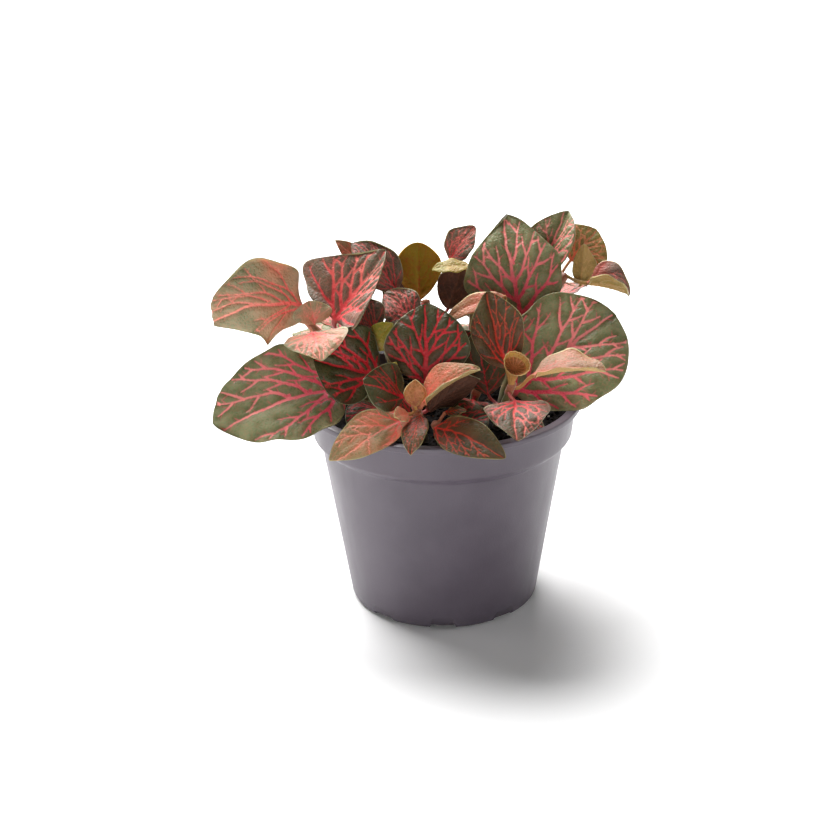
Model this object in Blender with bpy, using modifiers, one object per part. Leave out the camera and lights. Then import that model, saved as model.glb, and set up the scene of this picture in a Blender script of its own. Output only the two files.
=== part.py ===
"""Potted nerve plant: a young Fittonia growing in a round plastic nursery pot.

Units are metres with +Z up. The pot stands on z = 0, with its axis on the world Z axis, and the side of
the plant that is best to look at faces -Y. Leaves, stems and soil are separate solids that stand clear
of each other by a small gap.
"""
import math
from typing import NamedTuple

import bpy
import numpy as np
from mathutils import Vector

MM = 0.001
GAP = 0.3 * MM
OBJECT_NAME = "potted_nerve_plant"

# Pot
POT_HEIGHT = 92.4 * MM
LIP_RADIUS = 60.0 * MM
LIP_HEIGHT = 2.6 * MM
LIP_ROUND = 0.4 * MM
COLLAR_TOP_RADIUS = 57.4 * MM
COLLAR_FOOT_RADIUS = 55.9 * MM
COLLAR_FOOT_HEIGHT = 76.4 * MM
WALL_TOP_RADIUS = 52.6 * MM
WALL_TOP_HEIGHT = 73.5 * MM
BASE_RADIUS = 40.6 * MM
BASE_ROUND = 1.2 * MM
WALL = 1.4 * MM
POT_STEPS = 72

# Drain slots along the bottom edge of the pot
SLOT_COUNT = 9
SLOT_TURN = math.radians(-91.0)
SLOT_WIDTH = 11.0 * MM
SLOT_DEPTH = 7.0 * MM
SLOT_HEIGHT = 2.0 * MM
SLOT_OVERSHOOT = 4.0 * MM

# Soil
SOIL_STEPS = 36
SOIL_EDGE_HEIGHT = 82.0 * MM
SOIL_CROWN = 2.5 * MM
SOIL_RADIUS = COLLAR_FOOT_RADIUS - WALL - GAP
# Shares of the soil's radius with the share of the crown's height reached there
SOIL_MOUND = [(0.0, 1.0), (0.45, 0.8), (0.75, 0.4), (1.0, 0.0)]

# Stems
STEM_RADIUS = 2.0 * MM
STEM_TIP_SCALE = 0.7
STEM_FOOT_HEIGHT = 70.0 * MM
STEM_POINTS = 8
STEM_STEP = 0.02
STEM_BEVEL_RESOLUTION = 2
HOLE_SIDES = 12
HOLE_OVERSHOOT = 3.0 * MM

# Leaves
LEAF_ROWS = 6
LEAF_COLUMNS = 6
SMALL_LEAF_ROWS = 5
SMALL_LEAF_COLUMNS = 4
SMALL_LEAF_LENGTH = 30.0
BLADE_THICKNESS = 0.7
STALK_THICKNESS = 1.6
STALK_WIDTH_SHARE = 0.025
THINNEST_STALK = 0.6
TIP_HALF_WIDTH = 0.5
STALK_ROWS = 3
STALK_BEND = 0.35
STALK_CLEARANCE = 0.8
MIDRIB_SAMPLES = 60
EDGE_SAMPLES = 24
RIPPLE_WAVES = 2.5

# Opening bud
OPEN_BUD = "leaf_east_bud"
BUD_SIDES = 18
BUD_ROWS = 6
BUD_FLOOR = 0.3
BUD_WALL = 0.7
BUD_GAP = 1.1
BUD_FOOT_RADIUS = 1.3
BUD_MOUTH_RADIUS = 5.6
BUD_FLARE = 1.4
BUD_LEAN = 2.0
BUD_RISE = 0.55


class Finish(NamedTuple):
    """Colour, roughness and metallic value of a material."""

    color: tuple
    roughness: float
    metallic: float = 0.0


FINISHES = {
    "pot_plastic": Finish((0.125, 0.105, 0.125), 0.45),
    "soil": Finish((0.016, 0.011, 0.009), 0.95),
    "stem": Finish((0.16, 0.13, 0.05), 0.6),
    "leaf_mature": Finish((0.12, 0.10, 0.055), 0.5),
    "leaf_middle": Finish((0.33, 0.13, 0.08), 0.5),
    "leaf_young": Finish((0.42, 0.24, 0.10), 0.5),
}


class Stem(NamedTuple):
    """One shoot's stem: where it leaves the soil, a middle point and its tip, in millimetres."""

    name: str
    foot: tuple
    middle: tuple
    tip: tuple


STEMS = [
    Stem("stem_front", (-8, -30), (-9, -36, 92), (-11, -42, 105)),
    Stem("stem_front_low", (0, -36), (-1, -40, 90), (-3, -44, 97)),
    Stem("stem_east", (23, -18), (25, -24, 96), (29, -31, 109)),
    Stem("stem_west", (-28, -4), (-38, -8, 108), (-56, -12, 129)),
    Stem("stem_southwest", (-22, -16), (-27, -19, 96), (-33, -21, 110)),
    Stem("stem_northeast", (26, 8), (30, 12, 108), (54, 26, 137)),
    Stem("stem_north", (-4, 26), (-4, 32, 100), (-7, 37, 122)),
    Stem("stem_northwest", (-28, 16), (-34, 20, 104), (-41, 9, 120)),
    Stem("stem_heart", (-8, 4), (-8, 2, 104), (-15, 0, 119)),
    Stem("stem_middle", (12, -2), (17, -4, 104), (25, -2, 131)),
    Stem("stem_back", (13, 30), (15, 38, 100), (13, 42, 128)),
    Stem("stem_back_west", (-20, 34), (-24, 42, 96), (-29, 48, 109)),
]


class Leaf(NamedTuple):
    """One leaf with its stalk. Points and widths are in millimetres, angles in degrees.

    The stalk leaves the named stem at the share node of its curve. base and tip are the ends of the
    blade's midrib, and face is the way that the blade's upper side looks.
    arch is how far the midrib turns down from base to tip, and droop moves that turn towards the tip.
    fold lifts the left and the right half out of the leaf's plane, and cup curls each half further.
    broad is where the blade is widest, from 0 at the stalk to 1 at the tip. A lower fullness makes both
    ends rounder, and ripple waves the edge.
    """

    name: str
    stem: str
    node: float
    base: tuple
    tip: tuple
    face: tuple
    width: float
    finish: str
    arch: float = 40.0
    droop: float = 1.0
    fold: tuple = (15.0, 15.0)
    cup: float = -20.0
    broad: float = 0.45
    ripple: float = 0.4
    fullness: float = 0.8


LEAVES = [
    # West side
    Leaf("leaf_west_large", "stem_southwest", 0.75, (-40, -24, 107), (-94, -38, 97),
         (-0.1, -0.75, 0.65), 42, "leaf_mature", 60, broad=0.42, fullness=0.68),
    Leaf("leaf_west_upper", "stem_west", 0.97, (-59, -10, 136), (-95, -16, 131),
         (-0.1, -0.7, 0.7), 36, "leaf_middle", 125, fold=(-40, 35), broad=0.36),
    Leaf("leaf_west_bud_upper", "stem_west", 0.99, (-53, -15, 131), (-55, -11, 140),
         (0.1, -0.85, 0.5), 17, "leaf_young", 30),
    Leaf("leaf_west_bud_lower", "stem_west", 0.97, (-53, -22, 129), (-48, -40, 124),
         (0, -0.5, 0.85), 27, "leaf_middle", 50, broad=0.33),
    Leaf("leaf_west_folded", "stem_northwest", 0.95, (-46, 3, 126), (-24, 10, 155),
         (-0.2, -0.9, 0.3), 54, "leaf_mature", 20, fold=(-10, 70), broad=0.28, fullness=0.9),
    Leaf("leaf_southwest_red", "stem_southwest", 0.97, (-26, -25, 112), (-53, -28, 121),
         (0.1, -0.85, 0.5), 35, "leaf_mature", 40),
    Leaf("leaf_southwest_crescent", "stem_southwest", 0.72, (-26, -34, 113), (-19, -38, 122),
         (0.3, -0.9, 0.2), 9, "leaf_young", 30),
    Leaf("leaf_southwest_young", "stem_southwest", 0.99, (-30, -16, 120), (-21, -20, 132),
         (0, -0.8, 0.6), 12, "leaf_young", 20),
    Leaf("leaf_southwest_strip", "stem_west", 0.88, (-45, -17, 125), (-34, -15, 123),
         (0, -0.3, 0.95), 9, "leaf_mature", 20),
    # Front
    Leaf("leaf_front_left", "stem_front", 0.7, (-13, -39, 98), (-45, -59, 88),
         (-0.1, -0.7, 0.7), 19, "leaf_middle", 60),
    Leaf("leaf_front_low", "stem_front", 0.85, (-9, -48, 102), (-13, -64, 92),
         (-0.3, -0.8, 0.4), 11, "leaf_middle", 40),
    Leaf("leaf_front_right", "stem_front_low", 0.9, (-3, -48, 97), (25, -65, 91),
         (0, -0.7, 0.7), 17, "leaf_middle", 60),
    Leaf("leaf_front_small", "stem_front_low", 0.98, (1, -43, 101), (9, -46, 103),
         (0, -0.5, 0.9), 5, "leaf_young", 20),
    Leaf("leaf_front_tall", "stem_front", 0.94, (-7, -36, 111), (-5, -22, 141),
         (0, -0.9, 0.4), 36, "leaf_mature", 30),
    Leaf("leaf_front_round", "stem_front", 0.95, (-15, -42, 108), (-31, -48, 118),
         (-0.2, -0.7, 0.7), 22, "leaf_mature", 40),
    Leaf("leaf_front_trough", "stem_front", 0.94, (-8, -46, 107), (15, -44, 121),
         (-0.3, -0.3, 0.9), 20, "leaf_middle", 30, fold=(30, 50)),
    Leaf("leaf_front_shaded", "stem_front", 0.75, (-7, -37, 100), (15, -33, 112),
         (-0.1, 0.7, 0.6), 24, "leaf_mature", 30),
    Leaf("leaf_front_bud_upper", "stem_front", 0.99, (-11, -46, 107), (-11, -45, 118),
         (0, -0.8, 0.6), 9, "leaf_young", 10),
    Leaf("leaf_front_bud_lower", "stem_front", 0.93, (-14, -49, 104), (-19, -54, 105),
         (0, -0.7, 0.7), 8, "leaf_young", 20),
    # East side
    Leaf("leaf_east_large", "stem_east", 0.35, (31, -12, 97), (75, 8, 124),
         (-0.1, -0.85, 0.5), 52, "leaf_mature", 60, droop=1.5, broad=0.48, fullness=0.65),
    Leaf("leaf_east_upright", "stem_east", 0.95, (27, -27, 114), (19, -14, 143),
         (-0.2, -0.9, 0.35), 24, "leaf_middle", 20, fold=(40, 20)),
    Leaf("leaf_east_ribbon", "stem_middle", 0.97, (26, -8, 139), (2, -2, 126),
         (0, -0.6, 0.8), 9, "leaf_middle", 60),
    Leaf("leaf_east_peach", "stem_east", 0.93, (37, -34, 114), (66, -38, 117),
         (0, -0.1, 1), 26, "leaf_young", 30, fold=(24, 40)),
    Leaf("leaf_east_front", "stem_east", 0.85, (30, -41, 105), (31, -62, 97),
         (0, -0.6, 0.8), 26, "leaf_middle", 50, broad=0.35),
    Leaf("leaf_east_bud", "stem_east", 0.98, (30, -35, 111), (32, -33, 125),
         (-0.1, -0.8, 0.6), 30, "leaf_young", 10, fold=(5, 5), cup=150, broad=0.7),
    Leaf("leaf_east_inner", "stem_east", 0.4, (19, -16, 98), (15, -12, 126),
         (-0.2, -0.9, 0.3), 20, "leaf_mature", 30),
    # North-east shoot
    Leaf("leaf_northeast_tall", "stem_northeast", 0.64, (33, 14, 122), (28, 34, 162),
         (-0.1, -0.9, 0.35), 43, "leaf_mature", 40, broad=0.36, fullness=0.9),
    Leaf("leaf_northeast_top", "stem_northeast", 0.9, (43, 27, 136), (56, 37, 162),
         (0.1, -0.9, 0.4), 26, "leaf_mature", 30, fold=(0, 75)),
    Leaf("leaf_northeast_olive", "stem_northeast", 0.97, (57, 33, 141), (69, 41, 152),
         (0.1, -0.8, 0.5), 24, "leaf_mature", 40),
    Leaf("leaf_northeast_trough", "stem_northeast", 0.99, (62, 14, 137), (80, 10, 133),
         (0, 0, 1), 24, "leaf_middle", 30, fold=(50, 50)),
    Leaf("leaf_northeast_upright", "stem_northeast", 0.96, (60, 20, 135), (61, 22, 152),
         (0.3, 0.9, 0.1), 12, "leaf_middle", 20, fold=(30, 30), broad=0.33),
    # Middle
    Leaf("leaf_middle_striped", "stem_heart", 0.97, (-27, -1, 121), (-38, 5, 134),
         (0, -0.7, 0.7), 18, "leaf_mature", 30),
    Leaf("leaf_middle_grey", "stem_heart", 0.97, (-11, 4, 124), (-24, 13, 134),
         (-0.2, -0.6, 0.8), 18, "leaf_mature", 40),
    # North shoot
    Leaf("leaf_north_red", "stem_north", 0.97, (-19, 27, 130), (-38, 34, 150),
         (0.2, -0.7, 0.7), 20, "leaf_mature", 60),
    Leaf("leaf_north_coral_tip", "stem_north", 0.93, (-24, 38, 130), (-45, 38, 150),
         (0.3, -0.8, 0.5), 11, "leaf_middle", 20),
    Leaf("leaf_north_backlit", "stem_north", 0.98, (-9, 38, 122), (-10, 46, 146),
         (0, 0.95, -0.2), 20, "leaf_young", 30, broad=0.58, fullness=0.6),
    Leaf("leaf_north_narrow", "stem_back", 0.95, (12, 32, 139), (-4, 30, 138),
         (0, -0.3, 0.9), 10, "leaf_young", 30),
    Leaf("leaf_north_coral", "stem_back", 0.97, (4, 49, 137), (15, 50, 152),
         (-0.4, -0.7, 0.5), 16, "leaf_middle", 30),
    Leaf("leaf_north_dark_west", "stem_north", 0.85, (-12, 40, 114), (-22, 46, 136),
         (-0.4, 0.8, 0.3), 18, "leaf_mature", 30),
    Leaf("leaf_north_dark_east", "stem_north", 0.85, (2, 37, 118), (8, 38, 139),
         (0.3, 0.8, 0.3), 16, "leaf_mature", 30),
    # Far side
    Leaf("leaf_back_east_large", "stem_back", 0.5, (29, 46, 111), (52, 84, 98),
         (0.2, 0.4, 0.9), 36, "leaf_mature", 60),
    Leaf("leaf_back_large", "stem_north", 0.45, (-2, 37, 101), (3, 88, 87),
         (0, 0.4, 0.9), 36, "leaf_mature", 50),
    Leaf("leaf_back_west_large", "stem_back_west", 0.95, (-32, 52, 106), (-60, 84, 98),
         (-0.2, 0.4, 0.9), 34, "leaf_mature", 60),
    Leaf("leaf_back_east_side", "stem_northeast", 0.66, (44, 20, 116), (76, 44, 104),
         (0.4, 0.2, 0.9), 32, "leaf_mature", 60),
    Leaf("leaf_back_west_side", "stem_northwest", 0.5, (-40, 24, 106), (-64, 50, 102),
         (-0.3, 0.3, 0.9), 30, "leaf_mature", 60),
    Leaf("leaf_back_young_east", "stem_back", 0.8, (22, 50, 118), (28, 70, 119),
         (0, 0.2, 1), 22, "leaf_middle", 50),
]


def clear_scene():
    """Remove every object of the open file."""
    for item in list(bpy.data.objects):
        bpy.data.objects.remove(item, do_unlink=True)


def make_material(name):
    """Return a Principled material with the named finish."""
    finish = FINISHES[name]
    material = bpy.data.materials.new(name)
    material.use_nodes = True
    shader = material.node_tree.nodes["Principled BSDF"]
    shader.inputs["Base Color"].default_value = (*finish.color, 1.0)
    shader.inputs["Roughness"].default_value = finish.roughness
    shader.inputs["Metallic"].default_value = finish.metallic
    return material


def add_object(name, data, collection, material=None):
    """Link a new object with the given data to a collection."""
    item = bpy.data.objects.new(name, data)
    collection.objects.link(item)
    if material:
        data.materials.append(material)
    return item


def add_turned(name, profile, steps, collection, material):
    """Turn a closed profile of (radius, height) points about Z."""
    points = [(radius, 0.0, height) for radius, height in profile]
    edges = [(i, i + 1) for i in range(len(points) - 1)]
    mesh = bpy.data.meshes.new(name)
    mesh.from_pydata(points, edges, [])
    item = add_object(name, mesh, collection, material)
    screw = item.modifiers.new("turn", "SCREW")
    screw.axis = "Z"
    screw.steps = steps
    screw.render_steps = steps
    screw.use_merge_vertices = True
    screw.merge_threshold = 0.01 * MM
    return item


def wall_radius(height):
    """Outer radius of the tapered wall at a height."""
    share = height / WALL_TOP_HEIGHT
    return BASE_RADIUS + share * (WALL_TOP_RADIUS - BASE_RADIUS)


def build_pot(parts, cutters, material):
    """Turn the pot's shell and cut its drain slots."""
    lip_foot = POT_HEIGHT - LIP_HEIGHT
    inner_lip = COLLAR_TOP_RADIUS - WALL
    inner_foot = COLLAR_FOOT_RADIUS - WALL
    inner_wall = WALL_TOP_RADIUS - WALL
    floor = WALL
    profile = [
        (0.0, floor),
        (wall_radius(floor) - WALL, floor),
        (inner_wall, WALL_TOP_HEIGHT + WALL),
        (inner_foot, COLLAR_FOOT_HEIGHT + WALL),
        (inner_lip, POT_HEIGHT),
        (LIP_RADIUS - LIP_ROUND, POT_HEIGHT),
        (LIP_RADIUS, POT_HEIGHT - LIP_ROUND),
        (LIP_RADIUS, lip_foot),
        (COLLAR_TOP_RADIUS, lip_foot),
        (COLLAR_FOOT_RADIUS, COLLAR_FOOT_HEIGHT),
        (WALL_TOP_RADIUS, WALL_TOP_HEIGHT),
        (wall_radius(BASE_ROUND), BASE_ROUND),
        (BASE_RADIUS - BASE_ROUND, 0.0),
        (0.0, 0.0),
    ]
    pot = add_turned("pot", profile, POT_STEPS, parts, material)
    for index in range(SLOT_COUNT):
        angle = SLOT_TURN + index * 2 * math.pi / SLOT_COUNT
        cut_slot(pot, index, angle, cutters)
    return pot


def cut_slot(pot, index, angle, cutters):
    """Cut one drain slot, a block that leans over the bottom edge at the given angle."""
    bpy.ops.mesh.primitive_cube_add(size=1.0)
    block = bpy.context.object
    block.name = f"slot_cutter_{index + 1}"
    for owner in list(block.users_collection):
        owner.objects.unlink(block)
    cutters.objects.link(block)
    reach = BASE_RADIUS - SLOT_DEPTH / 2 + SLOT_OVERSHOOT / 2
    block.dimensions = (SLOT_DEPTH + SLOT_OVERSHOOT, SLOT_WIDTH, 2 * SLOT_HEIGHT)
    block.location = (reach * math.cos(angle), reach * math.sin(angle), 0.0)
    block.rotation_euler = (0.0, 0.0, angle)
    block.display_type = "WIRE"
    block.hide_render = True
    cut = pot.modifiers.new(f"slot_{index + 1}", "BOOLEAN")
    cut.operation = "DIFFERENCE"
    cut.object = block


def stem_centre(stem, share):
    """Point on the stem's curve above the soil, in millimetres."""
    start = Vector((*stem.foot, (SOIL_EDGE_HEIGHT + SOIL_CROWN) / MM))
    rest = 1.0 - share
    return start * rest ** 2 + Vector(stem.middle) * 2 * rest * share + Vector(stem.tip) * share ** 2


def stem_radius(share):
    """Radius of a stem at a share of its curve."""
    return STEM_RADIUS * (1.0 + share * (STEM_TIP_SCALE - 1.0))


def stalk_path(leaf, direction):
    """Centre points of the leaf's stalk, from the stem's side to just before the blade."""
    stem = next(stem for stem in STEMS if stem.name == leaf.stem)
    centre = np.array(stem_centre(stem, leaf.node))
    axis = np.array(stem_centre(stem, leaf.node) - stem_centre(stem, leaf.node - STEM_STEP))
    axis = axis / np.linalg.norm(axis)
    base = np.array(leaf.base, dtype=float)
    outward = base - centre
    outward = outward - axis * outward.dot(axis)
    outward = outward / np.linalg.norm(outward)
    root = centre + outward * (stem_radius(leaf.node) / MM + STALK_CLEARANCE)
    reach = np.linalg.norm(base - root)
    bend = STALK_BEND * reach
    handles = (root, root + outward * bend, base - direction * bend, base)
    weights = (1, 3, 3, 1)
    points = []
    for index in range(STALK_ROWS):
        share = index / STALK_ROWS
        rest = 1.0 - share
        terms = [weight * rest ** (3 - power) * share ** power for power, weight in enumerate(weights)]
        points.append(sum(term * handle for term, handle in zip(terms, handles)))
    return points


def midrib(leaf, samples):
    """Return points along the midrib with their normals, and the one direction that is sideways."""
    base = np.array(leaf.base, dtype=float)
    tip = np.array(leaf.tip, dtype=float)
    chord = tip - base
    along = chord / np.linalg.norm(chord)
    face = np.array(leaf.face, dtype=float)
    face = face - along * face.dot(along)
    face = face / np.linalg.norm(face)
    side = np.cross(along, face)
    share = np.linspace(0.0, 1.0, samples + 1)
    pitch = -np.radians(leaf.arch) * share ** leaf.droop
    steps = np.stack([np.cos(pitch), np.sin(pitch)], axis=1)
    path = np.vstack([np.zeros(2), np.cumsum((steps[1:] + steps[:-1]) / 2, axis=0)])
    reach = np.linalg.norm(path[-1])
    level = path[-1] / reach
    turn = np.array([[level[0], -level[1]], [level[1], level[0]]])
    world = np.stack([along, face])
    points = base + path @ turn @ world * np.linalg.norm(chord) / reach
    tangents = steps @ turn @ world
    normals = np.cross(side, tangents)
    return points, normals, side


def stalk_half_width(leaf):
    """Half the width of the leaf's stalk in millimetres."""
    return max(THINNEST_STALK, STALK_WIDTH_SHARE * leaf.width)


def half_width(leaf, share):
    """Half the blade's width at a share of its length."""
    power = math.log(0.5) / math.log(leaf.broad)
    swell = max(math.sin(math.pi * min(share ** power, 1.0)), 0.0) ** leaf.fullness
    ends = stalk_half_width(leaf) + (TIP_HALF_WIDTH - stalk_half_width(leaf)) * share
    return ends + (leaf.width / 2 - ends) * swell


def cross_section(leaf, reach, sign):
    """Offsets sideways and upwards to a point at a share of the half width."""
    fold = leaf.fold[0] if sign < 0 else leaf.fold[1]
    shares = np.linspace(0.0, reach, EDGE_SAMPLES)
    angles = np.radians(fold + leaf.cup * shares)
    return np.trapz(np.cos(angles), shares), np.trapz(np.sin(angles), shares)


def leaf_rows(leaf):
    """Rows and columns of the leaf's grid, fewer on a short leaf."""
    length = np.linalg.norm(np.subtract(leaf.tip, leaf.base))
    if length < SMALL_LEAF_LENGTH:
        return SMALL_LEAF_ROWS, SMALL_LEAF_COLUMNS
    return LEAF_ROWS, LEAF_COLUMNS


def leaf_line(centre, across, normal, width, leaf, columns, share):
    """One line of grid points across the leaf."""
    line = []
    for column in range(columns + 1):
        reach = 2.0 * column / columns - 1.0
        sign = -1.0 if reach < 0 else 1.0
        out, up = cross_section(leaf, abs(reach), sign)
        wave = leaf.ripple * math.sin(2 * math.pi * RIPPLE_WAVES * share + sign) * reach * reach
        line.append(centre + across * sign * out * width + normal * (up * width + wave))
    return line


def leaf_grid(leaf, rows, columns):
    """Grid of points of the leaf's middle surface, in millimetres, from the stem to the tip."""
    points, normals, side = midrib(leaf, MIDRIB_SAMPLES)
    start = points[1] - points[0]
    flat = leaf._replace(fold=(0.0, 0.0), cup=0.0, ripple=0.0)
    grid = []
    for centre in stalk_path(leaf, start / np.linalg.norm(start)):
        grid.append(leaf_line(centre, side, normals[0], stalk_half_width(leaf), flat, columns, 0.0))
    ticks = np.linspace(0.0, 1.0, MIDRIB_SAMPLES + 1)
    for row in range(rows + 1):
        share = (1.0 - math.cos(math.pi * row / rows)) / 2
        centre, normal = (
            np.array([np.interp(share, ticks, track[:, axis]) for axis in range(3)])
            for track in (points, normals)
        )
        grid.append(leaf_line(centre, side, normal, half_width(leaf, share), leaf, columns, share))
    return np.array(grid)


def build_leaf(leaf, parts, material):
    """Build one leaf as an open sheet with Solidify, thicker at the stalk."""
    rows, columns = leaf_rows(leaf)
    grid = leaf_grid(leaf, rows, columns) * MM
    vertices = [tuple(point) for line in grid for point in line]
    stride = columns + 1
    faces = []
    for row in range(len(grid) - 1):
        for column in range(columns):
            corner = row * stride + column
            faces.append((corner, corner + 1, corner + 1 + stride, corner + stride))
    mesh = bpy.data.meshes.new(leaf.name)
    mesh.from_pydata(vertices, [], faces)
    item = add_object(leaf.name, mesh, parts, material)
    stalk_vertices = (STALK_ROWS + 1) * stride
    group = item.vertex_groups.new(name="stalk")
    group.add(list(range(stalk_vertices)), 1.0, "REPLACE")
    group.add(list(range(stalk_vertices, len(vertices))), 0.0, "REPLACE")
    solid = item.modifiers.new("thickness", "SOLIDIFY")
    solid.thickness = STALK_THICKNESS * MM
    solid.thickness_vertex_group = BLADE_THICKNESS / STALK_THICKNESS
    solid.vertex_group = group.name
    solid.offset = 0.0
    return item


def bud_axis(leaf):
    """Foot, bending point and opening of the bud's axis, in millimetres."""
    stem = next(stem for stem in STEMS if stem.name == leaf.stem)
    end = np.array(stem_centre(stem, 1.0))
    ahead = end - np.array(stem_centre(stem, 1.0 - STEM_STEP))
    foot = end + BUD_GAP * ahead / np.linalg.norm(ahead)
    face = np.array(leaf.face, dtype=float)
    lean = BUD_LEAN * face / np.linalg.norm(face)
    opening = (np.array(leaf.base, dtype=float) + np.array(leaf.tip)) / 2 + lean
    rise = np.array([0.0, 0.0, BUD_RISE * np.linalg.norm(opening - foot)])
    return foot, foot + rise, opening


def bud_ring(axis, share, wall):
    """One ring of the bud at a share of its axis, set in by a wall thickness."""
    foot, bend, opening = axis
    rest = 1.0 - share
    centre = foot * rest ** 2 + bend * 2 * rest * share + opening * share ** 2
    ahead = (bend - foot) * rest + (opening - bend) * share
    ahead = ahead / np.linalg.norm(ahead)
    side = np.array([1.0, 0.0, 0.0]) - ahead * ahead[0]
    side = side / np.linalg.norm(side)
    up = np.cross(ahead, side)
    radius = BUD_FOOT_RADIUS + (BUD_MOUTH_RADIUS - BUD_FOOT_RADIUS) * share ** BUD_FLARE - wall
    turns = np.linspace(0.0, 2 * math.pi, BUD_SIDES, endpoint=False)
    return centre + radius * (np.outer(np.cos(turns), side) + np.outer(np.sin(turns), up))


def build_bud(leaf, parts, material):
    """Build the opening bud, a funnel that widens into a round cup."""
    axis = bud_axis(leaf)
    shares = [row / BUD_ROWS for row in range(BUD_ROWS + 1)]
    rings = [bud_ring(axis, share, 0.0) for share in shares]
    rings += [bud_ring(axis, share, BUD_WALL) for share in reversed(shares) if share > BUD_FLOOR]
    vertices = [tuple(point * MM) for ring in rings for point in ring]
    faces = [tuple(reversed(range(BUD_SIDES)))]
    for row in range(len(rings) - 1):
        for index in range(BUD_SIDES):
            corner, after = row * BUD_SIDES + index, row * BUD_SIDES + (index + 1) % BUD_SIDES
            faces.append((corner, after, after + BUD_SIDES, corner + BUD_SIDES))
    faces.append(tuple(range(len(vertices) - BUD_SIDES, len(vertices))))
    mesh = bpy.data.meshes.new(leaf.name)
    mesh.from_pydata(vertices, [], faces)
    return add_object(leaf.name, mesh, parts, material)


def build_stem(stem, parts, material):
    """Build one stem as a bevelled curve that thins towards its tip."""
    curve = bpy.data.curves.new(stem.name, "CURVE")
    curve.dimensions = "3D"
    curve.bevel_depth = STEM_RADIUS
    curve.bevel_resolution = STEM_BEVEL_RESOLUTION
    curve.use_fill_caps = True
    spline = curve.splines.new("POLY")
    shares = [index / (STEM_POINTS - 1) for index in range(STEM_POINTS)]
    spline.points.add(STEM_POINTS)
    spline.points[0].co = (stem.foot[0] * MM, stem.foot[1] * MM, STEM_FOOT_HEIGHT, 1.0)
    for point, share in zip(spline.points[1:], shares):
        point.co = (*(stem_centre(stem, share) * MM), 1.0)
        point.radius = stem_radius(share) / STEM_RADIUS
    return add_object(stem.name, curve, parts, material)


def build_soil(parts, cutters, material):
    """Turn the soil plug and bore a planting hole for each stem."""
    floor = WALL + GAP
    foot_radius = wall_radius(floor) - WALL - GAP
    mound = [(out * SOIL_RADIUS, SOIL_EDGE_HEIGHT + up * SOIL_CROWN) for out, up in SOIL_MOUND]
    profile = [
        *mound,
        (SOIL_RADIUS, COLLAR_FOOT_HEIGHT + WALL),
        (WALL_TOP_RADIUS - WALL - GAP, WALL_TOP_HEIGHT + WALL),
        (foot_radius, floor),
        (0.0, floor),
    ]
    soil = add_turned("soil", profile, SOIL_STEPS, parts, material)
    for stem in STEMS:
        bore_hole(soil, stem, cutters)
    return soil


def bore_hole(soil, stem, cutters):
    """Bore the planting hole of one stem."""
    depth = SOIL_EDGE_HEIGHT + SOIL_CROWN - STEM_FOOT_HEIGHT + HOLE_OVERSHOOT
    bpy.ops.mesh.primitive_cylinder_add(vertices=HOLE_SIDES, radius=STEM_RADIUS + 2 * GAP, depth=2 * depth)
    bore = bpy.context.object
    bore.name = f"{stem.name}_hole_cutter"
    for owner in list(bore.users_collection):
        owner.objects.unlink(bore)
    cutters.objects.link(bore)
    bore.location = (stem.foot[0] * MM, stem.foot[1] * MM, STEM_FOOT_HEIGHT - GAP + depth)
    bore.display_type = "WIRE"
    bore.hide_render = True
    cut = soil.modifiers.new(bore.name, "BOOLEAN")
    cut.operation = "DIFFERENCE"
    cut.object = bore


def main():
    """Build the whole plant in its pot."""
    clear_scene()
    parts = bpy.data.collections.new(OBJECT_NAME)
    cutters = bpy.data.collections.new("cutters")
    bpy.context.scene.collection.children.link(parts)
    bpy.context.scene.collection.children.link(cutters)
    materials = {name: make_material(name) for name in FINISHES}
    build_pot(parts, cutters, materials["pot_plastic"])
    build_soil(parts, cutters, materials["soil"])
    for stem in STEMS:
        build_stem(stem, parts, materials["stem"])
    for leaf in LEAVES:
        build = build_bud if leaf.name == OPEN_BUD else build_leaf
        build(leaf, parts, materials[leaf.finish])


main()
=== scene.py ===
"""Potted nerve plant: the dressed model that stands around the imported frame.

Lengths inside the leaf, vein and stem descriptions are millimetres and become metres when a mesh is made.
"""
import logging
import math
from dataclasses import dataclass
from enum import Enum
from typing import NamedTuple, Optional, Sequence, Union

import bmesh
import bpy
import numpy as np
from mathutils import Matrix, Vector


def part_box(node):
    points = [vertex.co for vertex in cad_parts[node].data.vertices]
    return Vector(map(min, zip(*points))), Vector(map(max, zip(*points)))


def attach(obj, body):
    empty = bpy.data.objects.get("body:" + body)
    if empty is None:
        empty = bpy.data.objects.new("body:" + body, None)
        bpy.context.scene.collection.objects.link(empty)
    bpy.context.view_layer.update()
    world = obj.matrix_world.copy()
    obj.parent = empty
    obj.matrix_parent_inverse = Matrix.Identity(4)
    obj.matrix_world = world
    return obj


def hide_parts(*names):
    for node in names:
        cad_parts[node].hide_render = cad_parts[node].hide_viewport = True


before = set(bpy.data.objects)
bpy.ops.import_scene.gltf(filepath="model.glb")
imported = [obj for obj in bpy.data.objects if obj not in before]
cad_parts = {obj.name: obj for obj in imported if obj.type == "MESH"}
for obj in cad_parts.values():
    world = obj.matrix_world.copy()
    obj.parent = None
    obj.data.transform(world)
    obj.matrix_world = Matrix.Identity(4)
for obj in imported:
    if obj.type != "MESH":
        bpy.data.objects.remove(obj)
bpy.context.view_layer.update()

MM = 0.001
BAKE_MAP = "OFBake"
LOG = logging.getLogger("nerve_plant")
Colour = tuple[float, float, float]
Point = tuple[float, float, float]
Array = np.ndarray


def tone(red: int, green: int, blue: int) -> Colour:
    """Turn a display colour, 0 to 255, into the linear colour that shaders work in."""
    shares = [value / 255 for value in (red, green, blue)]
    return tuple(s / 12.92 if s <= 0.04045 else ((s + 0.055) / 1.055) ** 2.4 for s in shares)


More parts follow.
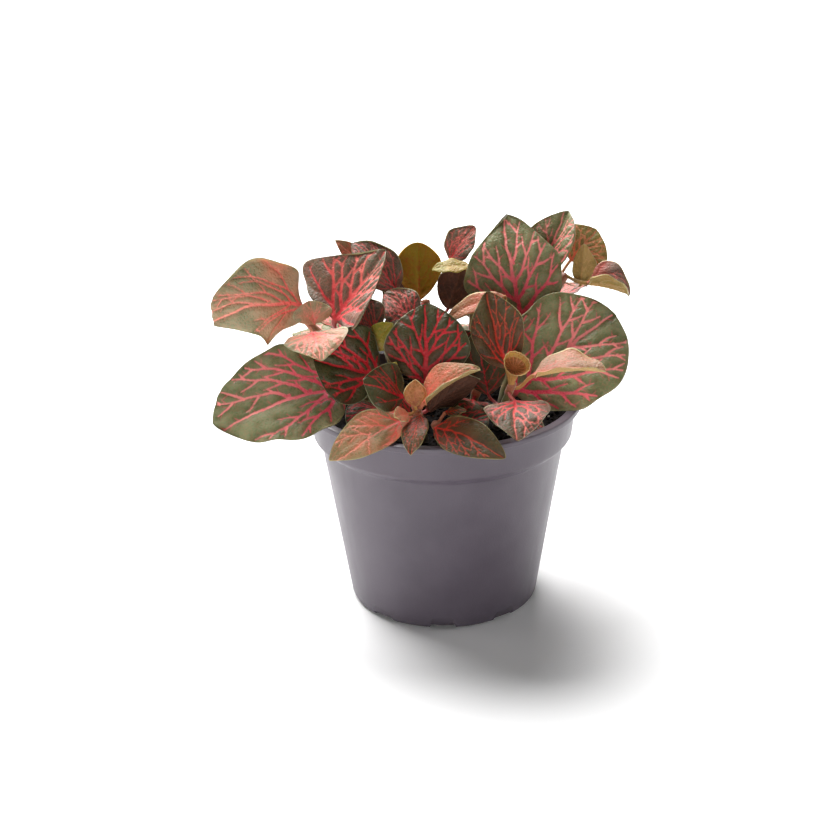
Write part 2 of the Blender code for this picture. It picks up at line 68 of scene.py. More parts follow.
def smooth(value: Array, low: float, high: float) -> Array:
    """Return a soft step from 0 at low to 1 at high."""
    share = np.clip((value - low) / (high - low), 0.0, 1.0)
    return share * share * (3.0 - 2.0 * share)


def unit(vector: Array) -> Array:
    """Return the vector with length one."""
    return vector / np.linalg.norm(vector)


def full_turn(count: int) -> Array:
    """Return evenly spaced angles around a circle."""
    return np.linspace(0.0, 2 * math.pi, count, endpoint=False)


def bend(start: Array, pull: Array, end: Array, share: float) -> Array:
    """Return the point at a share of the curve from start to end that a third point pulls on."""
    rest = 1.0 - share
    return start * rest ** 2 + pull * 2 * share * rest + end * share ** 2


def ring(centre: Array, radii: Array, turns: Array, side: Array, up: Array) -> Array:
    """Return a closed loop of points around a centre, in the plane of two directions."""
    return centre + np.outer(radii * np.cos(turns), side) + np.outer(radii * np.sin(turns), up)


class SoftNoise:
    """Smooth seeded noise of two variables, a sum of plane waves."""

    WAVES = 14

    def __init__(self, seed: int, size: float) -> None:
        """Draw the waves.

        Args:
            seed: Seed of the draw.
            size: Typical size of one swelling, in the variables' unit.
        """
        draw = np.random.default_rng(seed)
        angles = draw.uniform(0.0, 2 * math.pi, self.WAVES)
        lengths = size * draw.uniform(0.7, 1.8, self.WAVES)
        self.across = np.cos(angles) * 2 * math.pi / lengths / 2
        self.along = np.sin(angles) * 2 * math.pi / lengths / 2
        self.phases = draw.uniform(0.0, 2 * math.pi, self.WAVES)

    def at(self, x: Array, y: Array) -> Array:
        """Return the noise at the given places, mostly between -1 and 1."""
        total = np.zeros(np.broadcast(x, y).shape)
        for a, b, phase in zip(self.across, self.along, self.phases):
            total = total + np.sin(a * x + b * y + phase)
        return total / math.sqrt(self.WAVES)


# ---------------------------------------------------------------- meshes


def new_mesh(name: str, vertices: Array, faces: Sequence[Sequence[int]]) -> bpy.types.Object:
    """Make a smooth-shaded mesh object in the scene.

    Args:
        name: Name of the object.
        vertices: Points in metres, one row each.
        faces: Corner numbers of each face.

    Returns:
        The new object.
    """
    mesh = bpy.data.meshes.new(name)
    mesh.from_pydata(vertices.tolist(), [], faces)
    mesh.polygons.foreach_set("use_smooth", np.ones(len(mesh.polygons), dtype=bool))
    mesh.update()
    item = bpy.data.objects.new(name, mesh)
    bpy.context.scene.collection.objects.link(item)
    return item


def write_grid(item: bpy.types.Object, name: str, grid: Array) -> None:
    """Store one number for each point of a lofted skin under a name that materials can read."""
    values = np.concatenate([grid.ravel(), [grid[0].mean(), grid[-1].mean()]])
    layer = item.data.attributes.new(name, "FLOAT", "POINT")
    layer.data.foreach_set("value", values.astype(np.float32))


def loft(name: str, loops: Array, mapped: bool = True) -> bpy.types.Object:
    """Join closed loops of points into one closed skin, with a fan of triangles over each end.

    Args:
        name: Name of the object.
        loops: Points in metres with shape (loops, points in a loop, 3).
        mapped: Whether the skin gets its flat map.

    Returns:
        The skin. Its last two vertices are the centres of the two ends.
    """
    count, size = loops.shape[:2]
    ends = np.stack([loops[0].mean(axis=0), loops[-1].mean(axis=0)])
    vertices = np.vstack([loops.reshape(-1, 3), ends])
    row, column = np.meshgrid(np.arange(count - 1), np.arange(size), indexing="ij")
    following = (column + 1) % size
    corners = [row * size + column, row * size + following]
    corners += [(row + 1) * size + following, (row + 1) * size + column]
    quads = np.stack(corners, axis=-1).reshape(-1, 4)
    here = np.arange(size)
    after = (here + 1) % size
    top = (count - 1) * size
    first = np.stack([after, here, np.full(size, count * size)], axis=1)
    last = np.stack([top + here, top + after, np.full(size, count * size + 1)], axis=1)
    fans = np.vstack([first, last])
    if volume_inside(vertices, quads, fans) < 0.0:
        quads, fans = quads[:, ::-1], fans[:, ::-1]
    item = new_mesh(name, vertices, quads.tolist() + fans.tolist())
    if mapped:
        lay_out(item, count, size)
    return item


def volume_inside(vertices: Array, quads: Array, fans: Array) -> float:
    """Return six times a closed skin's volume, negative when its faces look inwards."""
    a, b, c, d = (vertices[quads[:, corner]] for corner in range(4))
    volume = np.sum(a * np.cross(b, c)) + np.sum(a * np.cross(c, d))
    a, b, c = (vertices[fans[:, corner]] for corner in range(3))
    return float(volume + np.sum(a * np.cross(b, c)))


def lay_out(item: bpy.types.Object, rows: int, size: int) -> None:
    """Give a lofted skin a flat map in which no two faces overlap.

    Args:
        item: Object made from a loft.
        rows: Number of loops.
        size: Number of points in a loop.
    """
    mesh = item.data
    layer = mesh.uv_layers.new(name=BAKE_MAP)
    corners = np.empty(len(mesh.loops), dtype=np.int64)
    mesh.loops.foreach_get("vertex_index", corners)
    totals = np.empty(len(mesh.polygons), dtype=np.int64)
    mesh.polygons.foreach_get("loop_total", totals)
    owner = np.repeat(np.arange(len(totals)), totals)
    across = (corners % size).astype(float)
    along = (corners // size).astype(float)
    is_end = corners >= rows * size
    low = np.full(len(totals), np.inf)
    high = np.full(len(totals), -np.inf)
    np.minimum.at(low, owner[~is_end], across[~is_end])
    np.maximum.at(high, owner[~is_end], across[~is_end])
    wraps = (high - low)[owner] > size / 2
    across = np.where(wraps & (across < size / 2), across + size, across)
    middle = np.where(wraps, size - 0.5, ((low + high) / 2)[owner])
    across = np.where(is_end, middle, across)
    along = np.where(is_end, np.where(corners == rows * size, -1.0, rows), along)
    places = np.stack([(across + 0.5) / (size + 1), (along + 1.5) / (rows + 2)], axis=1)
    layer.data.foreach_set("uv", places.astype(np.float32).ravel())


def dress(item: bpy.types.Object, material: bpy.types.Material, node: Optional[str]) -> None:
    """Give a piece its material and its place in the frame.

    Args:
        item: The piece.
        material: Its material.
        node: The frame's node that it stands for, if there is one.
    """
    item.data.materials.append(material)
    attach(item, "root")
    if node is not None:
        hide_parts(node)
    LOG.info("%s: %d faces", item.name, len(item.data.polygons))


# ---------------------------------------------------------------- shader trees

Socket = bpy.types.NodeSocket
Value = Union[float, Colour, Socket]


class Tree:
    """Thin layer over a node tree that adds a node and fills its sockets in one call."""

    def __init__(self, tree: bpy.types.NodeTree) -> None:
        """Start on an empty tree."""
        self.tree = tree

    def add(self, kind: str, inputs: Optional[dict] = None, **settings: object) -> bpy.types.Node:
        """Add a node.

        Args:
            kind: Node type without its ShaderNode prefix.
            inputs: Values or sockets by input name or number.
            settings: Properties of the node.

        Returns:
            The new node.
        """
        node = self.tree.nodes.new(f"ShaderNode{kind}")
        for name, value in settings.items():
            setattr(node, name, value)
        for key, value in (inputs or {}).items():
            self.fill(node.inputs[key], value)
        return node

    def fill(self, socket: Socket, value: Value) -> None:
        """Link a socket into an input, or set the input's own value."""
        if isinstance(value, bpy.types.NodeSocket):
            self.tree.links.new(value, socket)
        elif isinstance(value, tuple) and len(socket.default_value) == 4:
            socket.default_value = (*value, 1.0)
        else:
            socket.default_value = value

    def fill_all(self, node: bpy.types.Node, values: dict[str, Value]) -> None:
        """Fill several inputs of a node by name."""
        for name, value in values.items():
            self.fill(node.inputs[name], value)

    def times(self, first: Value, second: Value, clamp: bool = False) -> Socket:
        """Return a product."""
        return self.add("Math", {0: first, 1: second}, operation="MULTIPLY", use_clamp=clamp).outputs[0]

    def plus(self, first: Value, second: Value) -> Socket:
        """Return a sum."""
        return self.add("Math", {0: first, 1: second}, operation="ADD").outputs[0]

    def ramp(self, value: Value, low: Value, high: Value, start: Value = 0.0, end: Value = 1.0) -> Socket:
        """Return a soft step of a value from low to high, scaled to run from start to end."""
        sockets = {"Value": value, "From Min": low, "From Max": high, "To Min": start, "To Max": end}
        return self.add("MapRange", sockets, interpolation_type="SMOOTHSTEP").outputs[0]

    def mix(self, share: Value, first: Value, second: Value) -> Socket:
        """Return a mix of two colours."""
        return self.add("Mix", {0: share, 6: first, 7: second}, data_type="RGBA").outputs[2]

    def place(self) -> Socket:
        """Return the position on the object."""
        return self.add("TexCoord").outputs["Object"]

    def attribute(self, name: str) -> Socket:
        """Return a value stored on the mesh."""
        return self.add("Attribute", attribute_name=name).outputs["Fac"]

    def group(self, group: bpy.types.NodeTree, **inputs: Value) -> bpy.types.Node:
        """Place a shader group with its own values."""
        node = self.tree.nodes.new("ShaderNodeGroup")
        node.node_tree = group
        self.fill_all(node, inputs)
        return node

    def bump(self, height: Value, depth: float) -> Socket:
        """Return the normal of a surface raised by a height from 0 to 1, with its depth in metres."""
        return self.add("Bump", {"Height": height, "Distance": depth, "Strength": 1.0}).outputs[0]


class GroupKit:
    """The effects that several materials share, each one shader group."""

    BEND = 0.0006
    CELL_EDGE = 0.35

    def __init__(self) -> None:
        """Build every group once."""
        self.mottle = self.build_mottle()
        self.soft_vein = self.build_soft_vein()
        self.net = self.build_net()
        self.grain = self.build_grain()

    def start(
        self, name: str, inputs: dict[str, float], outputs: Sequence[str]
    ) -> tuple[Tree, dict[str, Socket], bpy.types.Node]:
        """Begin a group with float sockets.

        Args:
            name: Name of the group.
            inputs: Input names with their first values.
            outputs: Output names.

        Returns:
            The group's tree, its input values by name and its output node.
        """
        group = bpy.data.node_groups.new(name, "ShaderNodeTree")
        for label, value in inputs.items():
            socket = group.interface.new_socket(label, in_out="INPUT", socket_type="NodeSocketFloat")
            socket.default_value = value
        for label in outputs:
            group.interface.new_socket(label, in_out="OUTPUT", socket_type="NodeSocketFloat")
        entry, leave = group.nodes.new("NodeGroupInput"), group.nodes.new("NodeGroupOutput")
        return Tree(group), {label: entry.outputs[label] for label in inputs}, leave

    def build_mottle(self) -> bpy.types.NodeTree:
        """Build soft cloudy variation between two values; Scale counts swellings per metre."""
        tree, given, leave = self.start("mottle", {"Scale": 200.0, "Low": 0.35, "High": 0.65}, ["Value"])
        noise = tree.add("TexNoise", {"Vector": tree.place(), "Scale": given["Scale"], "Detail": 4.0})
        tree.fill(leave.inputs["Value"], tree.ramp(noise.outputs[0], given["Low"], given["High"]))
        return tree.tree

    def build_soft_vein(self) -> bpy.types.NodeTree:
        """Build a mask that is 1 inside a vein, with a soft and slightly frayed edge, in millimetres."""
        sockets = {"Gap": 0.0, "Softness": 0.3, "Fray": 0.2, "FrayScale": 900.0}
        tree, given, leave = self.start("soft_vein", sockets, ["Mask"])
        noise = tree.add("TexNoise", {"Vector": tree.place(), "Scale": given["FrayScale"], "Detail": 2.0})
        gap = tree.plus(given["Gap"], tree.times(tree.plus(noise.outputs[0], -0.5), given["Fray"]))
        inner = tree.times(given["Softness"], -1.0)
        tree.fill(leave.inputs["Mask"], tree.ramp(gap, inner, given["Softness"], 1.0, 0.0))
        return tree.tree

    def build_net(self) -> bpy.types.NodeTree:
        """Build the fine net of small cells: Mask is 1 on its lines, Height swells inside each cell."""
        tree, given, leave = self.start("net", {"Scale": 500.0, "Width": 0.08}, ["Mask", "Height"])
        place = tree.place()
        noise = tree.add("TexNoise", {"Vector": place, "Scale": given["Scale"], "Detail": 1.0})
        push = tree.add("VectorMath", {0: noise.outputs["Color"], "Scale": self.BEND}, operation="SCALE")
        moved = tree.add("VectorMath", {0: place, 1: push.outputs[0]}, operation="ADD")
        sockets = {"Vector": moved.outputs[0], "Scale": given["Scale"]}
        gap = tree.add("TexVoronoi", sockets, feature="DISTANCE_TO_EDGE").outputs["Distance"]
        tree.fill(leave.inputs["Mask"], tree.ramp(gap, 0.0, given["Width"], 1.0, 0.0))
        tree.fill(leave.inputs["Height"], tree.ramp(gap, 0.0, self.CELL_EDGE))
        return tree.tree

    def build_grain(self) -> bpy.types.NodeTree:
        """Build a fine rough grain; Scale counts grains per metre."""
        tree, given, leave = self.start("grain", {"Scale": 3000.0, "Detail": 3.0}, ["Height"])
        noise = tree.add("TexNoise", {"Vector": tree.place(), **given, "Roughness": 0.6})
        tree.fill(leave.inputs["Height"], noise.outputs[0])
        return tree.tree


def new_material(name: str) -> tuple[bpy.types.Material, Tree, bpy.types.Node]:
    """Start a material and return it with its tree and its Principled node."""
    material = bpy.data.materials.new(name)
    material.use_nodes = True
    return material, Tree(material.node_tree), material.node_tree.nodes["Principled BSDF"]


@dataclass(frozen=True)
class LeafFinish:
    """Colours and surface of one age of leaf; SHADED and BACKLIT instead hold painted shade and painted
    backlight.

    Attributes:
        name: Name of the material.
        slot: The record's material slot; not used.
        dark: Blade between the veins.
        pale: Paler blade, used for random mottling and for the painted highlight on the crown of each quilted
            cell.
        vein: Broad veins near the stalk.
        vein_far: Broad veins towards the tip.
        fine: Cross veins and short spurs.
        blush: Colour that spreads from the veins into the blade.
        rim: The blade's thin edge.
        under: Underside of the blade.
        under_vein: Ribs on the underside.
        stalk: The leaf's stalk.
        blush_strength: How strong the blush is, 0 to 1.
        fine_strength: How clearly the cross veins show, 0 to 1.
        net_strength: How clearly the finest net shows, 0 to 1.
        roughness: Roughness of the blade.
        glow: Share of light that passes through the blade.
    """

    name: str
    slot: str
    dark: Colour
    pale: Colour
    vein: Colour
    vein_far: Colour
    fine: Colour
    blush: Colour
    rim: Colour
    under: Colour
    under_vein: Colour
    stalk: Colour
    blush_strength: float = 0.3
    fine_strength: float = 0.7
    net_strength: float = 0.25
    roughness: float = 0.54
    glow: float = 0.05

    def build(self, kit: GroupKit) -> bpy.types.Material:
        """Build the material from the shared shader groups."""
        material, tree, shader = new_material(self.name)
        under = tree.attribute("under")
        cloud = tree.group(kit.mottle, Scale=160.0, Low=0.3, High=0.7).outputs[0]
        speck = tree.group(kit.mottle, Scale=1400.0, Low=0.35, High=0.75).outputs[0]
        net = tree.group(kit.net, Scale=620.0, Width=0.16)
        broad = tree.group(kit.soft_vein, Gap=tree.attribute("vein_gap"), Softness=0.28, Fray=0.5).outputs[0]
        fine = tree.group(kit.soft_vein, Gap=tree.attribute("fine_gap"), Softness=0.24, Fray=0.5).outputs[0]
        top = self.upper_side(tree, cloud, speck, net.outputs["Mask"], broad, fine)
        low = tree.mix(broad, self.under, self.under_vein)
        low = tree.mix(tree.times(fine, 0.5), low, self.under_vein)
        low = tree.mix(tree.times(cloud, 0.35), low, self.under_vein)
        on_stalk = tree.ramp(tree.attribute("share"), -0.03, 0.04, 1.0, 0.0)
        shine = tree.plus(tree.times(speck, 0.12), self.roughness - 0.06)
        grain = tree.group(kit.grain, Scale=2600.0)
        height = tree.plus(net.outputs["Height"], tree.times(grain.outputs[0], 0.7))
        tree.fill_all(shader, {
            "Base Color": tree.mix(on_stalk, tree.mix(under, top, low), self.stalk),
            "Roughness": tree.plus(shine, tree.times(under, 0.15)),
            "Normal": tree.bump(height, 0.00013),
            "Subsurface Weight": self.glow,
            "Subsurface Radius": (1.0, 0.7, 0.25),
            "Subsurface Scale": 0.0012,
            "Specular IOR Level": 0.36,
        })
        return material

    def upper_side(
        self, tree: Tree, cloud: Socket, speck: Socket, net: Socket, broad: Socket, fine: Socket
    ) -> Socket:
        """Return the colour of the upper side.

        Args:
            tree: The material's tree.
            cloud: Broad variation.
            speck: Fine variation.
            net: Mask of the finest net.
            broad: Mask of the broad veins.
            fine: Mask of the spurs.
        """
        # Painted highlight and painted shade: the blade turns paler towards the middle of each cell between
        # veins, where the quilted crown would catch light, and stays darker along the veins' grooves.
        crown = tree.ramp(tree.attribute("vein_gap"), 0.3, 3.0, 0.0, 0.45)
        spread = tree.times(tree.attribute("blush"), self.blush_strength)
        spread = tree.times(spread, tree.plus(cloud, 0.6), clamp=True)
        blade = tree.mix(tree.times(cloud, 0.5), self.dark, self.pale)
        blade = tree.mix(tree.times(crown, tree.plus(cloud, 0.5)), blade, self.pale)
        blade = tree.mix(tree.times(speck, 0.15), blade, self.pale)
        blade = tree.mix(spread, blade, self.blush)
        blade = tree.mix(tree.times(net, self.net_strength), blade, self.fine)
        blade = tree.mix(tree.times(fine, self.fine_strength), blade, self.fine)
        ink = tree.mix(tree.ramp(tree.attribute("share"), 0.1, 0.75), self.vein, self.vein_far)
        # Painted shade: a deeper red line down the midrib's centre stands in for the shade in its groove.
        ink = tree.mix(tree.ramp(tree.attribute("rib_gap"), 0.1, 0.4, 0.35, 0.0), ink, self.vein)
        ink = tree.mix(tree.times(speck, 0.25), ink, self.vein_far)
        edge = tree.ramp(tree.attribute("edge_gap"), 0.1, 0.45, 0.7, 0.0)
        return tree.mix(edge, tree.mix(broad, blade, ink), self.rim)


MATURE = LeafFinish(
    "leaf_mature_olive", "leaf_mature",
    dark=tone(78, 88, 44), pale=tone(132, 136, 96), vein=tone(216, 50, 80), vein_far=tone(236, 134, 128),
    fine=tone(200, 92, 92), blush=tone(150, 96, 74), rim=tone(110, 104, 76), under=tone(112, 106, 62),
    under_vein=tone(160, 124, 84), stalk=tone(150, 82, 66), blush_strength=0.16, net_strength=0.12,
)
# Painted shade: a darker, redder copy of the mature finish for leaves that sit in shade inside the plant.
SHADED = LeafFinish(
    "leaf_mature_red_painted_shade", "leaf_mature",
    dark=tone(42, 46, 14), pale=tone(66, 66, 30), vein=tone(166, 6, 22), vein_far=tone(196, 32, 42),
    fine=tone(120, 22, 24), blush=tone(90, 18, 12), rim=tone(126, 126, 92), under=tone(70, 42, 28),
    under_vein=tone(110, 66, 46), stalk=tone(160, 60, 56), net_strength=0.1, glow=0.03,
)
STRIPED = LeafFinish(
    "leaf_mature_striped", "leaf_mature",
    dark=tone(66, 62, 40), pale=tone(104, 98, 76), vein=tone(208, 52, 60), vein_far=tone(224, 112, 100),
    fine=tone(208, 100, 94), blush=tone(146, 70, 54), rim=tone(150, 148, 112), under=tone(96, 54, 34),
    under_vein=tone(140, 84, 54), stalk=tone(170, 76, 68), net_strength=0.15,
)
SAGE = LeafFinish(
    "leaf_middle_sage", "leaf_middle",
    dark=tone(112, 112, 76), pale=tone(152, 148, 114), vein=tone(226, 92, 84), vein_far=tone(230, 138, 120),
    fine=tone(206, 120, 100), blush=tone(206, 116, 86), rim=tone(156, 160, 120), under=tone(126, 116, 72),
    under_vein=tone(170, 130, 88), stalk=tone(176, 108, 80), blush_strength=0.5, net_strength=0.18, glow=0.08,
)
SALMON = LeafFinish(
    "leaf_middle_salmon", "leaf_middle",
    dark=tone(110, 98, 58), pale=tone(160, 142, 102), vein=tone(228, 70, 62), vein_far=tone(236, 140, 118),
    fine=tone(228, 126, 102), blush=tone(220, 104, 80), rim=tone(160, 156, 106), under=tone(140, 122, 76),
    under_vein=tone(176, 136, 92), stalk=tone(180, 106, 78), blush_strength=0.7, net_strength=0.2, glow=0.1,
)
RUSSET = LeafFinish(
    "leaf_middle_russet", "leaf_middle",
    dark=tone(52, 46, 18), pale=tone(82, 74, 38), vein=tone(206, 40, 32), vein_far=tone(196, 70, 48),
    fine=tone(120, 46, 32), blush=tone(122, 44, 28), rim=tone(146, 134, 88), under=tone(140, 108, 62),
    under_vein=tone(170, 132, 84), stalk=tone(160, 92, 62), blush_strength=0.4, net_strength=0.18, glow=0.1,
)
PEACH = LeafFinish(
    "leaf_young_peach", "leaf_young",
    dark=tone(128, 94, 58), pale=tone(150, 116, 82), vein=tone(190, 76, 56), vein_far=tone(188, 98, 74),
    fine=tone(184, 96, 72), blush=tone(186, 100, 72), rim=tone(168, 166, 110), under=tone(180, 150, 96),
    under_vein=tone(200, 156, 100), stalk=tone(176, 124, 72), blush_strength=0.5, glow=0.12,
)
AMBER = LeafFinish(
    "leaf_young_amber", "leaf_young",
    dark=tone(132, 84, 30), pale=tone(160, 112, 56), vein=tone(120, 50, 26), vein_far=tone(196, 116, 72),
    fine=tone(200, 124, 78), blush=tone(150, 80, 40), rim=tone(204, 180, 126), under=tone(174, 130, 70),
    under_vein=tone(154, 104, 54), stalk=tone(176, 132, 74), blush_strength=0.5, glow=0.12,
)
LIME = LeafFinish(
    "leaf_young_lime", "leaf_young",
    dark=tone(112, 106, 16), pale=tone(146, 138, 34), vein=tone(140, 84, 22), vein_far=tone(160, 126, 36),
    fine=tone(150, 112, 32), blush=tone(140, 94, 24), rim=tone(170, 166, 90), under=tone(140, 130, 44),
    under_vein=tone(154, 128, 50), stalk=tone(140, 110, 44), blush_strength=0.4, net_strength=0.2, glow=0.15,
)
BACKLIT = LeafFinish(
    "leaf_young_backlit", "leaf_young",
    dark=tone(142, 120, 0), pale=tone(150, 132, 4), vein=tone(120, 66, 4), vein_far=tone(112, 94, 12),
    fine=tone(144, 92, 12), blush=tone(176, 88, 0), rim=tone(190, 140, 88), under=tone(140, 120, 0),
    under_vein=tone(160, 84, 0), stalk=tone(164, 104, 32), blush_strength=0.8, net_strength=0.15, glow=0.2,
)
OLIVE = LeafFinish(
    "leaf_mature_tan", "leaf_mature",
    dark=tone(104, 94, 34), pale=tone(132, 124, 64), vein=tone(206, 92, 60), vein_far=tone(208, 130, 90),
    fine=tone(186, 138, 92), blush=tone(160, 114, 66), rim=tone(156, 150, 94), under=tone(146, 128, 70),
    under_vein=tone(184, 146, 92), stalk=tone(160, 112, 70), net_strength=0.2, glow=0.1,
)
REVERSE = LeafFinish(
    "leaf_middle_reverse", "leaf_middle",
    dark=tone(84, 66, 54), pale=tone(120, 104, 86), vein=tone(216, 84, 74), vein_far=tone(220, 116, 104),
    fine=tone(196, 106, 92), blush=tone(196, 100, 84), rim=tone(156, 148, 100), under=tone(142, 122, 66),
    under_vein=tone(186, 146, 92), stalk=tone(150, 116, 62), blush_strength=0.5, net_strength=0.15, glow=0.08,
)


class VeinPlan(NamedTuple):
    """How a blade is veined. Widths are half widths in millimetres on a blade 40 mm wide.

    Attributes:
        pairs: Side veins on each side of the midrib.
        midrib: Half width of the midrib at the stalk.
        branch: Half width of a side vein where it leaves the midrib.
        fine: Half width of a spur.
        start: Where the last side vein leaves the midrib, 0 at the stalk to 1 at the tip.
        angle: Angle at which side veins leave the midrib, in degrees.
        spread: Angle to the midrib that the first side vein bends towards, in degrees.
        ease: The same for the last side vein.
        spacing: Distance between the twigs of a side vein, in millimetres.
        groove: Depth of the veins below the blade between them, in millimetres.
    """

    pairs: int = 4
    midrib: float = 0.92
    branch: float = 0.84
    fine: float = 0.26
    start: float = 0.5
    angle: float = 50.0
    spread: float = 44.0
    ease: float = 18.0
    spacing: float = 5.4
    groove: float = 0.8


class Veins(Enum):
    """The vein patterns that the leaves carry."""

    NET = VeinPlan()
    OPEN = VeinPlan(branch=0.88, start=0.42, angle=52.0, spread=34.0, ease=10.0, groove=0.9)
    STRIPES = VeinPlan(pairs=5, branch=0.55, angle=36.0, spread=26.0, ease=9.0, spacing=10.0)
    FAN = VeinPlan(
        pairs=7, midrib=0.5, branch=0.26, fine=0.1,
        angle=34.0, spread=34.0, ease=8.0, spacing=14.0, groove=0.3,
    )
    FAINT = VeinPlan(midrib=0.6, branch=0.34, fine=0.12, spacing=9.0, groove=0.35)


@dataclass(frozen=True)
class FlatBlade:
    """A blade laid flat: its length and its half width at evenly spaced shares, in millimetres."""

    length: float
    half_widths: Array

    def half_width(self, x: Union[float, Array]) -> Union[float, Array]:
        """Return the half width at a distance from the stalk."""
        ticks = np.linspace(0.0, self.length, len(self.half_widths))
        return np.interp(x, ticks, self.half_widths)

    def holds(self, point: Array) -> bool:
        """Tell whether a point lies inside the margin, where veins can run."""
        along, across = point
        return 0.0 <= along < 0.975 * self.length and abs(across) < 0.94 * float(self.half_width(along))


class Bud(NamedTuple):
    """Where a vein can begin: its point, its heading in radians and the side it leaves on."""

    point: Array
    heading: float
    side: float


class Growth(NamedTuple):
    """How a vein grows: the heading it bends to, its longest reach and the half widths of its ends."""

    ease: float
    reach: float
    first: float
    last: float


class VeinTrace:
    """Grows the veins of one flattened blade, x along the midrib and y across it, in millimetres.

    Every vein grows by short steps and ends at the margin or where it meets another vein, so that
    veins fork and join but never cross. Each of them is a path of points with half widths.
    """

    STEP = 0.9
    SUPPLENESS = 8.0
    WANDER = 0.07
    MEETING = 0.9
    FREE_STEPS = 2.5
    KINK = math.radians(9.0)
    TAPER = 0.4
    OUTER_TURN, INNER_TURN = math.radians(46.0), math.radians(38.0)
    OUTER_REACH, INNER_REACH = 18.0, 8.0
    OUTER_WIDTH, INNER_WIDTH = 0.72, 0.58
    SPUR_EVERY = 4
    SPUR_TURN = math.radians(58.0)
    SPUR_REACH = 2.0

    def __init__(self, plan: VeinPlan, flat: FlatBlade, scale: float, seed: int) -> None:
        """Grow every vein.

        Args:
            plan: How the blade is veined.
            flat: The flattened blade.
            scale: Scale of the vein widths.
            seed: Seed of the small irregularities.
        """
        self.plan = plan
        self.flat = flat
        self.scale = scale
        self.draw = np.random.default_rng(seed)
        self.grown = [np.zeros((0, 4))]
        self.broad: list[Array] = []
        self.fine: list[Array] = []
        self.grow_midrib()
        roots = [(index, side) for index in range(plan.pairs) for side in (-1.0, 1.0)]
        twigs = [(twig, side) for index, side in roots for twig in self.grow_side(index, side)]
        for twig, side in twigs:
            self.grow_twig(twig, twig.side == side)
        for path in list(self.broad):
            self.add_spurs(path[:, :2])

    def jitter(self, size: float) -> float:
        """Return a random shift up to the given size."""
        return float(self.draw.uniform(-size, size))

    def grow_midrib(self) -> None:
        """Grow the midrib."""
        width = self.plan.midrib * self.scale
        self.grow(Bud(np.zeros(2), 0.0, 1.0), Growth(0.0, self.flat.length, width, 0.35 * width), self.broad)

    def grow_side(self, index: int, side: float) -> list[Bud]:
        """Grow one side vein and return the buds of its twigs."""
        plan, length = self.plan, self.flat.length
        share = index / max(plan.pairs - 1, 1)
        root = length * (0.02 + plan.start * share ** 1.2 + 0.012 * side + self.jitter(0.01))
        angle = math.radians(plan.angle * (1.15 - 0.35 * share) + self.jitter(4.0))
        width = plan.branch * self.scale * (1.0 - 0.3 * share)
        ease = side * math.radians(plan.spread + (plan.ease - plan.spread) * share)
        bud = Bud(np.array([root, 0.0]), side * angle, side)
        return self.grow(bud, Growth(ease, 2 * length, width, self.TAPER * width), self.broad)

    def grow_twig(self, twig: Bud, outer: bool) -> None:
        """Grow one twig of a side vein, longer when it leaves on the outer side."""
        turn = (self.OUTER_TURN if outer else self.INNER_TURN) + self.jitter(0.12)
        width = self.plan.branch * self.scale * (self.OUTER_WIDTH if outer else self.INNER_WIDTH)
        reach = self.scale * (self.OUTER_REACH if outer else self.INNER_REACH)
        growth = Growth(twig.heading + twig.side * 0.35, reach, width, self.TAPER * width)
        self.grow(Bud(twig.point, twig.heading + twig.side * turn, twig.side), growth, self.broad)

    def add_spurs(self, points: Array) -> None:
        """Let short pointed spurs leave a vein on alternate sides."""
        width = self.plan.fine * self.scale
        for index in range(3, len(points) - 1, self.SPUR_EVERY):
            ahead = points[index + 1] - points[index - 1]
            side = 1.0 if index % (2 * self.SPUR_EVERY) == 3 else -1.0
            heading = math.atan2(ahead[1], ahead[0]) + side * (self.SPUR_TURN + self.jitter(0.3))
            reach = self.scale * (self.SPUR_REACH + self.jitter(0.8))
            growth = Growth(heading - side * 0.4, reach, 1.3 * width, 0.3 * width)
            self.grow(Bud(points[index], heading, side), growth, self.fine)

    def grow(self, bud: Bud, growth: Growth, group: list[Array]) -> list[Bud]:
        """Grow one vein.

        Args:
            bud: Where it begins.
            growth: How it grows.
            group: Veins that it is added to.

        Returns:
            The points along it from which twigs can leave, on alternate sides.
        """
        step = self.STEP * self.scale
        spacing = self.plan.spacing * self.scale
        point, heading, side = bud
        path, buds = [point], []
        travelled, next_bud = 0.0, spacing * (0.8 + self.jitter(0.2))
        others = np.vstack(self.grown)
        while travelled < growth.reach:
            heading += (growth.ease - heading) * step / (self.SUPPLENESS * self.scale)
            heading += self.jitter(self.WANDER)
            ahead = point + step * np.array([math.cos(heading), math.sin(heading)])
            travelled += step
            if not self.flat.holds(ahead):
                break
            free = travelled <= self.FREE_STEPS * step
            meeting = None if free else nearest_on(ahead, others, self.MEETING * step)
            if meeting is not None:
                path.append(meeting)
                break
            path.append(ahead)
            point = ahead
            if travelled >= next_bud:
                buds.append(Bud(point, heading, side))
                heading -= side * self.KINK
                side = -side
                next_bud += spacing * (1.0 + self.jitter(0.25))
        if len(path) > 1:
            points = np.array(path)
            widths = np.linspace(growth.first, growth.last, len(points))
            group.append(np.column_stack([points, widths]))
            self.grown.append(np.column_stack([points[:-1], points[1:]]))
        return buds


def nearest_on(point: Array, pieces: Array, limit: float) -> Optional[Array]:
    """Return the nearest point on straight pieces, or nothing when none is within a limit.

    Args:
        point: Flat position.
        pieces: Both ends of each piece, one row of four numbers each.
        limit: Greatest distance that counts.
    """
    start, step = pieces[:, :2], pieces[:, 2:] - pieces[:, :2]
    span = np.maximum((step ** 2).sum(axis=1), 1e-9)
    t = np.clip(((point - start) * step).sum(axis=1) / span, 0.0, 1.0)
    near = start + t[:, None] * step
    gaps = np.hypot(near[:, 0] - point[0], near[:, 1] - point[1])
    if len(gaps) == 0 or gaps.min() > limit:
        return None
    return near[int(gaps.argmin())]


